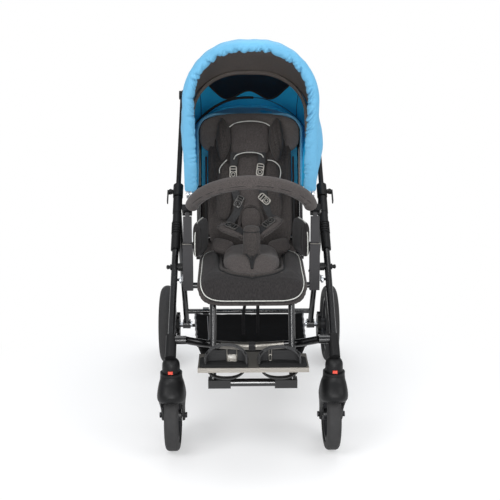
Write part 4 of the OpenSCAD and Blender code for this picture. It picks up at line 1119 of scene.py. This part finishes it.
def arch_point(share, angle, inset=0.0, start=ARCH_START, half=CANOPY_HALF, reach=CANOPY_REACH):
    x, r = over_the_top(share, start, reach - (half - CROWN_FLAT), half - inset - CROWN_FLAT, CROWN_FLAT)
    a = math.radians(angle)
    return CANOPY_PIVOT + Vector((x, r * math.cos(a), r * math.sin(a))) * MM


def gore_area(degrees, inset):
    corner, shoulder = CANOPY_HALF - inset - CROWN_FLAT, CANOPY_REACH - (CANOPY_HALF - CROWN_FLAT)
    side = (shoulder ** 2 - ARCH_START ** 2) / 2 + corner * (shoulder * math.pi / 2 + corner)
    return 2 * (side + CROWN_FLAT * (shoulder + corner)) * math.radians(degrees) * MM * MM


steps = [arch_point(i / 60, 90.0) for i in range(61)]
print("arch length", round(sum((b - a).length for a, b in zip(steps, steps[1:])), 3), "m")

# %% [markdown]
# The front cover reaches from the middle bow to the front bow. On the real buggy it closes like a fan when that bow
# swings back; here it is drawn open.
# A dark lining hangs under it, and the hem is a soft stuffed tube gathered along its inner edge.

# %% Front cover and its lining
def waver(s, t, seed=0.0):
    return noise.noise(Vector((s * 7, t * 3, seed)))


# Faces that look into the canopy take the deeper blue copy: painted light for the light shining through the cloth.
def paint_light_inside(made):
    middle = CANOPY_PIVOT + Vector((0, 0.05, 0.18))
    made.data.materials.append(FINISH["coated_blue_nylon"])
    for face in made.data.polygons:
        face.material_index = 1 if face.normal.dot(middle - face.center) > 0 else 0


def cover_shape(s, t, depth=0.0):
    angle = MIDDLE_BOW - 4 + (FRONT_BOW - MIDDLE_BOW + 4) * t
    sag = depth + 8.0 * math.sin(math.pi * min(1.0, t * 1.1)) ** 2 * (1 + 0.4 * waver(s, t)) + 3.5 * t ** 6
    gather = 1.8 * math.sin(160 * s + 5 * waver(s, 1, 4)) * max(0.0, (t - 0.7) / 0.3) ** 1.5
    side = min(s, 1 - s)
    front = math.sin(math.pi * max(0.0, (t - 0.58) / 0.42))
    swell, spot = (20.0, 0.105) if s > 0.5 else (9.0, 0.145)
    bulge = 0.0 if depth else swell * math.exp(-((side - spot) / 0.07) ** 2) * front
    return arch_point(s, angle, 1.5 + sag + gather - bulge)


front_start, front_end = tuple(arch_point(0.5, MIDDLE_BOW + 2)), tuple(arch_point(0.5, FRONT_BOW - 3))
cover = sew_sheet("canopy_front_cover", 170, 26, cover_shape, 1.2, (1.1, 0.38),
                  "sky_blue_nylon", None, "blue_cloth")
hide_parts("canopy_front_shell")
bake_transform(cover)
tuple(front_start)
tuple(front_end)
declare_cloth(cover, (1.12, 0.40), gore_area(FRONT_BOW - MIDDLE_BOW + 4, 1.5))


def lining_shape(s, t):
    return cover_shape(0.015 + 0.97 * s, 0.02 + 0.9 * t, 3.0 + 7 * t)


# The lining's colour is lifted above the real dark cloth: painted light under the canopy.
lining = sew_sheet("canopy_lining", 110, 18, lining_shape, 1.0, (1.1, 0.36),
                   "dark_lining_polyester", None, "charcoal_fabric")
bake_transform(lining)
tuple(front_start)
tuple(front_end)
declare_cloth(lining, (1.08, 0.36), gore_area(46.8, 13.0))

# %% Stuffed front hem, gathered on its inner edge
HEM_WIDE, HEM_TOP, HEM_SIDE, HEM_START = 42.0, 29.0, 39.0, -4.0


def gathered(s, waves, seed):
    return abs(math.sin(waves * s + 7 * waver(s * 3, 0.3, seed))) ** 0.6 - 0.62


def hem_shape(s, t):
    turn = math.tau * t
    crown = math.sin(math.pi * s) ** 2
    thick = HEM_SIDE + (HEM_TOP - HEM_SIDE) * crown
    lean = 0.010 * math.sin(turn)
    fold = gathered(s + lean, 74, 8) * (0.85 + 0.9 * waver(s * 6, 0.7, 2)) + 0.4 * gathered(s - lean, 151, 3)
    inner = max(0.0, math.sin(turn + math.pi - 0.55)) ** 0.9
    swell = inner * (5.0 + 6.5 * crown) * fold
    across = thick / 2 * (math.sin(turn) - 1) + swell * math.sin(turn)
    ahead = HEM_WIDE / 2 * math.cos(turn) * (1 + 0.08 * waver(s, 3, 1)) + swell * math.cos(turn)
    round_end = math.sqrt(min(1.0, (min(s, 1 - s) + 0.0005) / 0.016))
    across = -thick / 2 + (across + thick / 2) * round_end
    a = math.radians(FRONT_BOW)
    base = arch_point(s, FRONT_BOW, 1 - across, HEM_START)
    spoke = base - CANOPY_PIVOT
    room = min(HEM_WIDE / 2, max(8.5, 0.09 * math.hypot(spoke.y, spoke.z) / MM - 4.0)) / (HEM_WIDE / 2)
    return base + Vector((0, -math.sin(a), math.cos(a))) * ahead * room * round_end * MM


hem = piece("canopy_front_hem", closed_tube(520, 40, hem_shape, (1.1, 0.11)), "sky_blue_nylon", "canopy_front",
            "blue_cloth", crease=60)

# %% [markdown]
# Behind the middle bow the cover carries a dark net on its inside. A dark sleeve marks the bow, with a thin pale cord
# along it that is a painted highlight, and the lower edge of the net is bound in black and cut in a wave.

# %% Rear cover, net and the sleeve of the middle bow
def rear_point(share, angle, depth):
    t = (angle - REAR_EDGE + 1) / (MIDDLE_BOW + 1.5 - REAR_EDGE)
    sag = 5.0 * math.sin(math.pi * t) * (1 + 0.5 * waver(share, t, 3))
    return arch_point(share, angle, 4.0 + sag + depth)


def rear_shape(s, t):
    return rear_point(s, REAR_EDGE - 1 + (MIDDLE_BOW + 1.5 - REAR_EDGE) * t, 0.0)


rear_cover = sew_sheet("canopy_rear_cover", 130, 14, rear_shape, 1.2, (1.1, 0.2),
                       "sky_blue_nylon", "backrest", "blue_cloth")
paint_light_inside(rear_cover)
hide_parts("canopy_rear_shell")
rear_area = gore_area(MIDDLE_BOW + 1.5 - REAR_EDGE, 7.0)
declare_cloth(rear_cover, (1.12, 0.2), rear_area)


def bow_cord(name, angle, half, start, radius, finish):
    line = [arch_point(i / 100, angle, 0.0, start, half, BOW_REACH) for i in range(101)]
    return laid_tubes(name, [line], radius, finish, "backrest", "pale_plastic")


MIDDLE_HALF, BOW_REACH = 185.5, 459.5
# The sleeve wears the lining cloth, whose colour is lifted as painted light.
bow_cord("middle_bow_sleeve", MIDDLE_BOW, MIDDLE_HALF, 105.0, 6.2, "dark_lining_polyester")
# A thin pale cord along the sleeve is a painted highlight.
bow_cord("middle_bow_highlight_cord", MIDDLE_BOW + 0.9, MIDDLE_HALF - 1, 105.0, 2.0, "grey_bow_piping")
# The rear bow binding wears the deeper blue copy: painted light for the light through the cloth.
bow_cord("rear_bow_binding", REAR_EDGE + 1, MIDDLE_HALF, 40.0, 5.8, "coated_blue_nylon")

NET_SPREAD = 0.136


def net_edge(q):
    return 41.0 + 10.5 * q ** 4 - 4.6 * math.sin(math.pi * q) ** 2


def net_shape(s, t):
    q = 2 * s - 1
    low = net_edge(q)
    return rear_point(0.5 + NET_SPREAD * q, low + (MIDDLE_BOW - low) * t, 4.0 + 2.0 * math.sin(math.pi * t))


net = sew_sheet("canopy_net_window", 90, 14, net_shape, 0.6, (0.29, 0.09),
                "knitted_window_net", "backrest", "charcoal_fabric")
declare_cloth(net, (0.31, 0.13), 0.0271)
edge = [net_shape(i / 70, 0.0) for i in range(71)]
laid_tubes("net_edge_binding", [edge], 3.4, "black_edge_binding", "backrest", "black_webbing")

# %% [markdown]
# The rear bow is joined to the backrest by a blue panel that wraps the top of the back and runs down both
# sides. It is a loft from the rear bow to the outline of the backrest, slack enough to fold.

# %% Panel between the rear bow and the backrest
BACK_TUBE, BACK_TOP, BACK_CORNER, PANEL_LOW, INNER_TOP = 170.0, 470.0, 60.0, 225.0, 37.0


def back_outline(s):
    x, z = over_the_top(s, PANEL_LOW, BACK_TOP - BACK_CORNER, BACK_CORNER, BACK_TUBE - BACK_CORNER)
    return back_at(x, 2.0, z)


def panel_shape(s, t):
    high = arch_point(s, REAR_EDGE, 4.0, 60.0)
    low = back_outline(s)
    slack = math.sin(math.pi * t) * (7 + 4 * math.sin(9 * s + 2.5 * t) + 3.5 * waver(s * 2, t, 9))
    inward = Vector((0, -0.45, -0.9)) if 0.25 < s < 0.75 else Vector((0.6 if s < 0.5 else -0.6, -0.6, -0.3))
    return high.lerp(low, t) + inward * slack * MM


panel = sew_sheet("canopy_back_cover", 120, 26, panel_shape, 1.2, (1.06, 0.2),
                  "sky_blue_nylon", "backrest", "blue_cloth")
paint_light_inside(panel)
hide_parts("canopy_back_panel")
declare_cloth(panel, (1.06, 0.20), 0.088)
hem_line = [back_outline(i / 90) + Vector((0, -4, 2)) * MM for i in range(91)]
laid_tubes("back_panel_hem", [hem_line], 6.5, "sky_blue_nylon", "backrest", "blue_cloth", sides=3)


def inner_line(first, last):
    spots = [first + (last - first) * i / 40 for i in range(41)]
    rises = [(INNER_TOP - REAR_EDGE) * math.sin(math.pi * share) ** 8 for share in spots]
    return [rear_point(share, REAR_EDGE + rise, 5.0) for share, rise in zip(spots, rises)]


laid_tubes("back_panel_binding", [inner_line(0.26, 0.515)], 4.2, "black_edge_binding", "backrest", "black_webbing")
laid_tubes("back_panel_seam", [inner_line(0.50, 0.76)], 1.3, "dark_blue_thread", "backrest", "blue_cloth")
seams = [[rear_point(share, 33 + 17 * i / 20, 2.0) for i in range(21)] for share in (0.33, 0.67)]
laid_tubes("rear_cover_seams", seams, 1.2, "dark_blue_thread", "backrest", "blue_cloth")

# %% [markdown]
# ## Grab bar sleeve and handle grip
# The grab bar wears a padded sleeve that closes with a flap along its lower side. A ring of quads is bent
# along the bar, pinched where the flap is sewn, and gathered a little at the two ends.

# %% Grab bar sleeve
GRAB_REACH, SLEEVE_RADIUS = 178.0, 20.0
SLEEVE_FROM, SLEEVE_TO, FLAP_AT = math.radians(190.5), math.radians(349.5), math.radians(285)
SEAM_FROM, SEAM_TO = 0.1, 0.9


def round_bar(s, out, rise):
    along = SLEEVE_FROM + (SLEEVE_TO - SLEEVE_FROM) * s
    return GRAB @ (Vector((out * math.cos(along), out * math.sin(along), rise)) * MM)


def sleeve_shape(s, t):
    turn = math.tau * t
    ends = min(1.0, min(s, 1 - s) / 0.02)
    ripple = 0.5 * noise.noise(Vector((s * 22, math.cos(turn), math.sin(turn))))
    radius = SLEEVE_RADIUS * (0.62 + 0.38 * math.sqrt(ends)) + ripple
    flap = math.exp(-((turn - FLAP_AT) / 0.32) ** 2) * min(1.0, max(0.0, (0.42 - abs(s - 0.5)) / 0.06))
    radius += flap * (3.0 + 1.3 * math.sin(70 * s + 3 * waver(s, 0, 6)))
    return round_bar(s, GRAB_REACH + radius * math.cos(turn), radius * math.sin(turn))


def sleeve_seam(degrees, lift):
    turn, radius = math.radians(degrees), SLEEVE_RADIUS + lift
    spots = [SEAM_FROM + (SEAM_TO - SEAM_FROM) * i / 60 for i in range(61)]
    return [round_bar(s, GRAB_REACH + radius * math.cos(turn), radius * math.sin(turn)) for s in spots]


sleeve = piece("grab_bar_sleeve_cover", closed_tube(150, 36, sleeve_shape), "padded_charcoal_polyester", "grab_bar",
               "charcoal_fabric", crease=70)
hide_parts("grab_bar_sleeve")
laid_tubes("sleeve_seams", [sleeve_seam(304, 0.4), sleeve_seam(262, 0.2)], 0.9, "black_edge_binding", "grab_bar",
           "charcoal_fabric")

# %% Foam grip on the push handle
grip_low, grip_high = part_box("handle_grip")
rim, end = (grip_high.z - grip_low.z) / 2 / MM, -(grip_high.x - grip_low.x) / 2 / MM
profile = [(9.6, end), (rim - 2, end), (rim, end + 3), (rim + 1.2, end + 16), (rim, end + 22), (rim + 0.4, 0)]
profile += [(r, -h) for r, h in reversed(profile[:-1])]
middle = Matrix.Translation((grip_low + grip_high) / 2) @ turned("Y", 90)
grip = piece("handle_grip_foam", placed(lathe([point.xy for point in flow(profile, 3)]), middle),
             "closed_cell_grip_foam", "handle", "foam", crease=50)
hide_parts("handle_grip")

# %% [markdown]
# ## Basket
# The basket is one sheet of coated cloth slung between the rear bar and the front bow. It hangs lower in the
# middle and its sides fold up in gussets that are bound in grey.
# One grid gives the sheet. It follows the floor, the walls and the rim, and sags where nothing holds it.

# %% Basket sheet, gussets and rim
BASKET_FRONT, BASKET_BACK, BASKET_FLOOR = -0.272, 0.286, 0.188


def basket_shape(s, t):
    y = BASKET_FRONT + (BASKET_BACK - BASKET_FRONT) * t
    half = 0.160 + 0.036 * t
    across = 2 * s - 1
    floor = BASKET_FLOOR + 0.004 * t + 0.100 * max(0.0, 1 - t / 0.09) ** 1.6
    floor += 0.006 * max(0.0, (t - 0.86) / 0.14) ** 1.5
    floor -= 0.014 * math.sin(math.pi * t) * (1 - across ** 2)
    wall = max(0.0, (abs(across) - 0.78) / 0.22)
    rim = 0.288 - 0.086 * t - 0.012 * math.sin(math.pi * t)
    z = floor + (rim - floor) * wall ** 1.3
    x = half * across * (1 - 0.05 * (1 - wall) * max(0.0, abs(across) - 0.5))
    crease = 0.0016 * noise.noise(Vector((s * 14, t * 9, 3)))
    crease += 0.0010 * math.sin(40 * t + 6 * across) * wall
    return Vector((x + crease, y, z + crease))


def follow_legs(made):
    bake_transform(made)


basket = sew_sheet("basket_cloth", 64, 60, basket_shape, 1.4, (0.5, 0.6),
                   "basket_nylon_black", None, "basket_cloth")
follow_legs(basket)
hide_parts("basket")
declare_cloth(basket, (0.43, 0.62), 0.245)
bm = bmesh.new()
for share in (0.0, 1.0):
    tube([basket_shape(share, t / 40) for t in range(41)], 3.0 * MM, bm)
for share in (0.11, 0.89):
    tube([basket_shape(share, t / 40) + Vector((0, 0, 0.002)) for t in range(2, 40)], 1.8 * MM, bm)
follow_legs(piece("basket_gusset_binding", bm, "grey_gusset_binding", None, "basket_cloth"))
rims = [[basket_shape(s / 40, t) for s in range(41)] for t in (1.0, 0.0)]
follow_legs(laid_tubes("basket_rim_binding", rims, 3.2, "black_edge_binding", None, "basket_cloth"))

# %% [markdown]
# ## Foot straps
# Two wide webbing loops hold the shoes. A low heel band with a satin alloy buckle closes each loop behind,
# and ribbed mats lie on the plate.

# %% Foot strap loops and heel bands
PLATE_TOP, STRAP_Y = 0.307, -0.448
LOOP_RADIUS, LOOP_LEAN = 0.0590, 0.30
SHOES = {-0.074: 0.80, 0.072: 0.70}  # middle of each loop, and how high it stands for its width


def strap_loop(middle, flat):
    line, sides = [], []
    for i in range(64):
        a = math.tau * i / 64
        x = math.copysign(abs(math.cos(a)) ** 0.85, math.cos(a)) * LOOP_RADIUS * 1.02
        z = math.sin(a) * LOOP_RADIUS * (flat if math.sin(a) > 0 else 0.72)
        line.append(Vector((middle + x, STRAP_Y + z * LOOP_LEAN, PLATE_TOP + z)))
        sides.append(Vector((0.10 * math.cos(a), 1.0, -0.22)))
    return line + line[:1], sides + sides[:1]


bm = bmesh.new()
for middle, flat in SHOES.items():
    line, sides = strap_loop(middle, flat)
    ribbon(line, sides, 0.040, 0.0028, bm)
foot_straps = piece("foot_strap_webbing", bm, "polyester_webbing_black", "footplate", "black_webbing")
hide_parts("foot_straps")
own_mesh(foot_straps)
HEEL_BACK, HEEL_LOW, HEEL_HIGH = -0.436, 0.310, 0.338
plan = [(-0.056, -0.470), (-0.056, -0.458), (-0.045, -0.443), (0.0, HEEL_BACK), (0.045, -0.443), (0.056, -0.458),
        (0.056, -0.470)]
bm = bmesh.new()
for middle in SHOES:
    line = flow([(middle + x, y, (HEEL_LOW + HEEL_HIGH) / 2) for x, y in plan], 6)
    ribbon(line, Vector((0, 0.10, 1.0)), HEEL_HIGH - HEEL_LOW, 0.0026, bm)
heel_straps = piece("heel_strap_webbing", bm, "polyester_webbing_black", "footplate", "black_webbing")
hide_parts("foot_straps")


# %% Buckles on the heel bands and mats on the plate
def buckle(matrix, width, height, bm):
    tube([matrix @ p for p in outline(width, height, 2.5, 0.0)], 1.5 * MM, bm, closed=True)
    tube([matrix @ (Vector((x, 0, 0.6)) * MM) for x in (-width / 2, 0, width / 2)], 1.3 * MM, bm)


bm = bmesh.new()
upright = turned("X", 84)
buckle(Matrix.Translation((-0.058, HEEL_BACK - 0.006, 0.326)) @ upright, 27, 34, bm)
buckle(Matrix.Translation((0.047, HEEL_BACK - 0.007, 0.326)) @ upright, 7, 32, bm)
piece("heel_buckles", bm, "satin_alloy_tube", "footplate", "steel")
plate_spot = Matrix.Translation((-0.058, HEEL_BACK - 0.0055, 0.318)) @ upright
plate = placed(rounded_plate(24, 15, 1.6, 1.5, 0.4), plate_spot)
piece("heel_buckle_plate", plate, "grey_moulded_acetal", "footplate", "pale_plastic")
MAT_HALF, MAT_LONG, MAT_Y = 0.0660, 0.074, -0.4490
bm = bmesh.new()
for middle in (-0.0800, 0.0800):
    mat = rounded_plate(2 * MAT_HALF / MM, MAT_LONG / MM, 2.0, 9, 0.6)
    join_in(bm, placed(mat, Matrix.Translation((middle, MAT_Y, PLATE_TOP + 0.0011))))
    for step in range(6):
        y = MAT_Y - 0.0275 + 0.011 * step
        tube([Vector((middle + x, y, PLATE_TOP + 0.0022)) for x in (-0.058, 0.0, 0.058)], 1.1 * MM, bm)
piece("footplate_mats", bm, "ribbed_rubber_mat", "footplate", "tyre_rubber")

# %% [markdown]
# ## Moulded forks
# Each front fork is one moulding: a round crown under the caster head swells into a hood over the wheel and runs
# down into two legs. Level rings of a rounded box, lofted from the axle to the crown, give that swell.
# A barrel is then cut out of it where the wheel turns, which leaves the arch and the legs.

# %% Rings of the front forks
FORK_X = 0.230
RING_PLACES = [
    (87.5, -353, -332), (95, -359, -327), (105, -363, -325), (125, -374, -324), (148, -396, -322),
    (168, -416, -321), (184, -442, -322), (202, -448, -328), (221, -436, -336), (234, -422, -348),
    (245.5, -415.5, -353.5)]
RING_FORMS = [
    (34, 2.4), (35, 2.6), (35, 2.8), (35, 3.2), (36.5, 3.2), (39, 3.0), (40.5, 2.8), (39, 2.6), (35.5, 2.3),
    (32, 2.1), (31, 2.0)]
ring_places, ring_forms = flow(RING_PLACES, 4), flow(RING_FORMS, 4)


def fork_ring(turn, level):
    height, front, back = ring_places[level]
    half, square, _ = ring_forms[level]
    x = math.copysign(abs(math.cos(turn)) ** (2 / square), math.cos(turn)) * half
    y = math.copysign(abs(math.sin(turn)) ** (2 / square), math.sin(turn)) * (back - front) / 2
    return Vector((x, (front + back) / 2 + y, height)) * MM


print("fork rings:", len(ring_places))


# %% Front forks
def cut_away(body, cutter):
    for bm in (body, cutter):
        bmesh.ops.recalc_face_normals(bm, faces=bm.faces[:])
    pair = [scratch(body), scratch(cutter)]
    knife = pair[0].modifiers.new("cut", "BOOLEAN")
    knife.object, knife.operation, knife.solver = pair[1], "DIFFERENCE", "EXACT"
    left = bmesh.new()
    left.from_mesh(solved(pair[0]))
    for one in pair:
        bpy.data.objects.remove(one)
    return left


def fork_front(x, height):
    level = min(range(len(ring_places)), key=lambda i: abs(ring_places[i].x - height))
    _, front, back = ring_places[level]
    half, square, _ = ring_forms[level]
    reach = (1 - min(1.0, abs(x) / half) ** square) ** (1 / square)
    return (front + back) / 2 - reach * (back - front) / 2


WHEEL_ROOM = [
    (0.05, -27.3), (60, -27.3), (97, -27.3), (104.5, -24), (108, -17), (109, 0), (108, 17), (104.5, 24), (97, 27.3),
    (60, 27.3), (0.05, 27.3)]
FORK_ARCH = [(-29.5, 122), (-29.5, 148), (-28.5, 166), (-22, 178), (0, 182), (22, 178), (28.5, 166), (29.5, 148),
             (29.5, 122)]
across = Matrix.Translation((0, -0.3425, 0.1025)) @ turned("Y", 90)
for side, sign in SIDES:
    levels = len(ring_places) - 1
    body = closed_tube(64, levels, lambda s, t: fork_ring(math.tau * s, round(t * levels)))
    fork = cut_away(body, placed(lathe(WHEEL_ROOM, 72), across))
    lip = [Vector((x, fork_front(x, h) + 0.6, h)) * MM for x, h, _ in flow(FORK_ARCH, 5)]
    tube(lip, 2.0 * MM, fork)
    made = piece(f"fork_moulding_{side}", placed(fork, Matrix.Translation((sign * FORK_X, 0, 0))),
                 "glass_filled_nylon_black", f"caster_{side}", "black_plastic", crease=35)
    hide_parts(f"caster_fork_{side}")

# %% [markdown]
# The seat hangs on two pivot bolts. Each is a shaft with a broad spacer between post and tube and a small domed
# nut outside, all turned parts, so one profile spun round the bolt's axis makes them.

# %% Pivot bolts
PIVOT = [
    (0.05, 177), (6, 177), (6, 205.4), (12, 205.8), (12, 219), (7.5, 220.5), (7.5, 240), (9, 240.4), (9, 243),
    (5.6, 243.6), (5.2, 247), (6.4, 248.4), (6.8, 250.8), (5.4, 253.4), (2.6, 254.7), (0.05, 255)]
STAY_PIN = [(0.05, 206), (4, 206), (4, 220.5), (0.05, 220.5)]
bm = bmesh.new()
for sign in (-1, 1):
    flip = Matrix.Scale(sign, 4, (1, 0, 0))
    for profile, y, z in ((PIVOT, SEAT_PIVOT.y, SEAT_PIVOT.z), (STAY_PIN, -0.2061, 0.4726)):
        join_in(bm, placed(lathe(profile, 32), flip @ Matrix.Translation((0, y, z)) @ turned("Y", 90)))
bolts = piece("pivot_bolt_set", bm, "glass_filled_nylon_black", "chassis", "black_plastic")
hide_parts("pivot_bolts")

# %% [markdown]
# Small trim finishes the hard parts: the front bow wears a bare alloy sleeve with a black wrap in its middle, a
# pale rim closes the lower posts, and two webbing ties hang from the seat to the basket floor.

# %% Bow sleeve, wrap, post rims and basket ties
BOW_SPAN, BOW_END, BOW_MIDDLE = 0.188, Vector((0, -0.3555, 0.3381)), Vector((0, -0.3005, 0.2980))
bow_dip = (BOW_MIDDLE - BOW_END).length
bow_radius = (BOW_SPAN ** 2 + bow_dip ** 2) / (2 * bow_dip)


def bow_point(x):
    drop = bow_radius - math.sqrt(bow_radius ** 2 - x ** 2)
    return BOW_MIDDLE + (BOW_END - BOW_MIDDLE).normalized() * drop + Vector((x, 0, 0))


def bow_cover(name, half, steps, radius, finish, slot):
    line = [bow_point(-half + 2 * half * i / steps) for i in range(steps + 1)]
    laid_tubes(name, [line], radius, finish, "chassis", slot, sides=6)


bow_cover("front_bow_sleeve", 0.094, 30, 11.5, "satin_alloy_tube", "plate_aluminium")
bow_cover("front_bow_wrap", 0.010, 8, 12.8, "polyester_webbing_black", "black_webbing")
rims = [[SEAT @ (shift(sign * 190, 0, 72) @ p) for p in outline(30, 35, 3, 0.0)] for sign in (-1, 1)]
laid_tubes("post_rims", rims, 1.2, "satin_alloy_tube", "seat", "plate_aluminium", closed=True)
TIES = {"left": ((-0.006, 0.075, 0.442), (-0.021, 0.110, 0.186)),
        "right": ((0.026, 0.075, 0.442), (0.027, 0.112, 0.192))}
for side, (top, low) in TIES.items():
    line = flow([top, (top[0], 0.085, 0.36), (low[0], 0.098, 0.27), low], 8)
    tape = ribbon(line, Vector((1, 0.2, 0)), 0.011, WEBBING_THICK * MM)
    tie = piece(f"basket_tie_{side}", tape, "polyester_webbing_black", None, "black_webbing")
    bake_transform(tie)
    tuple(top)
    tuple(low)
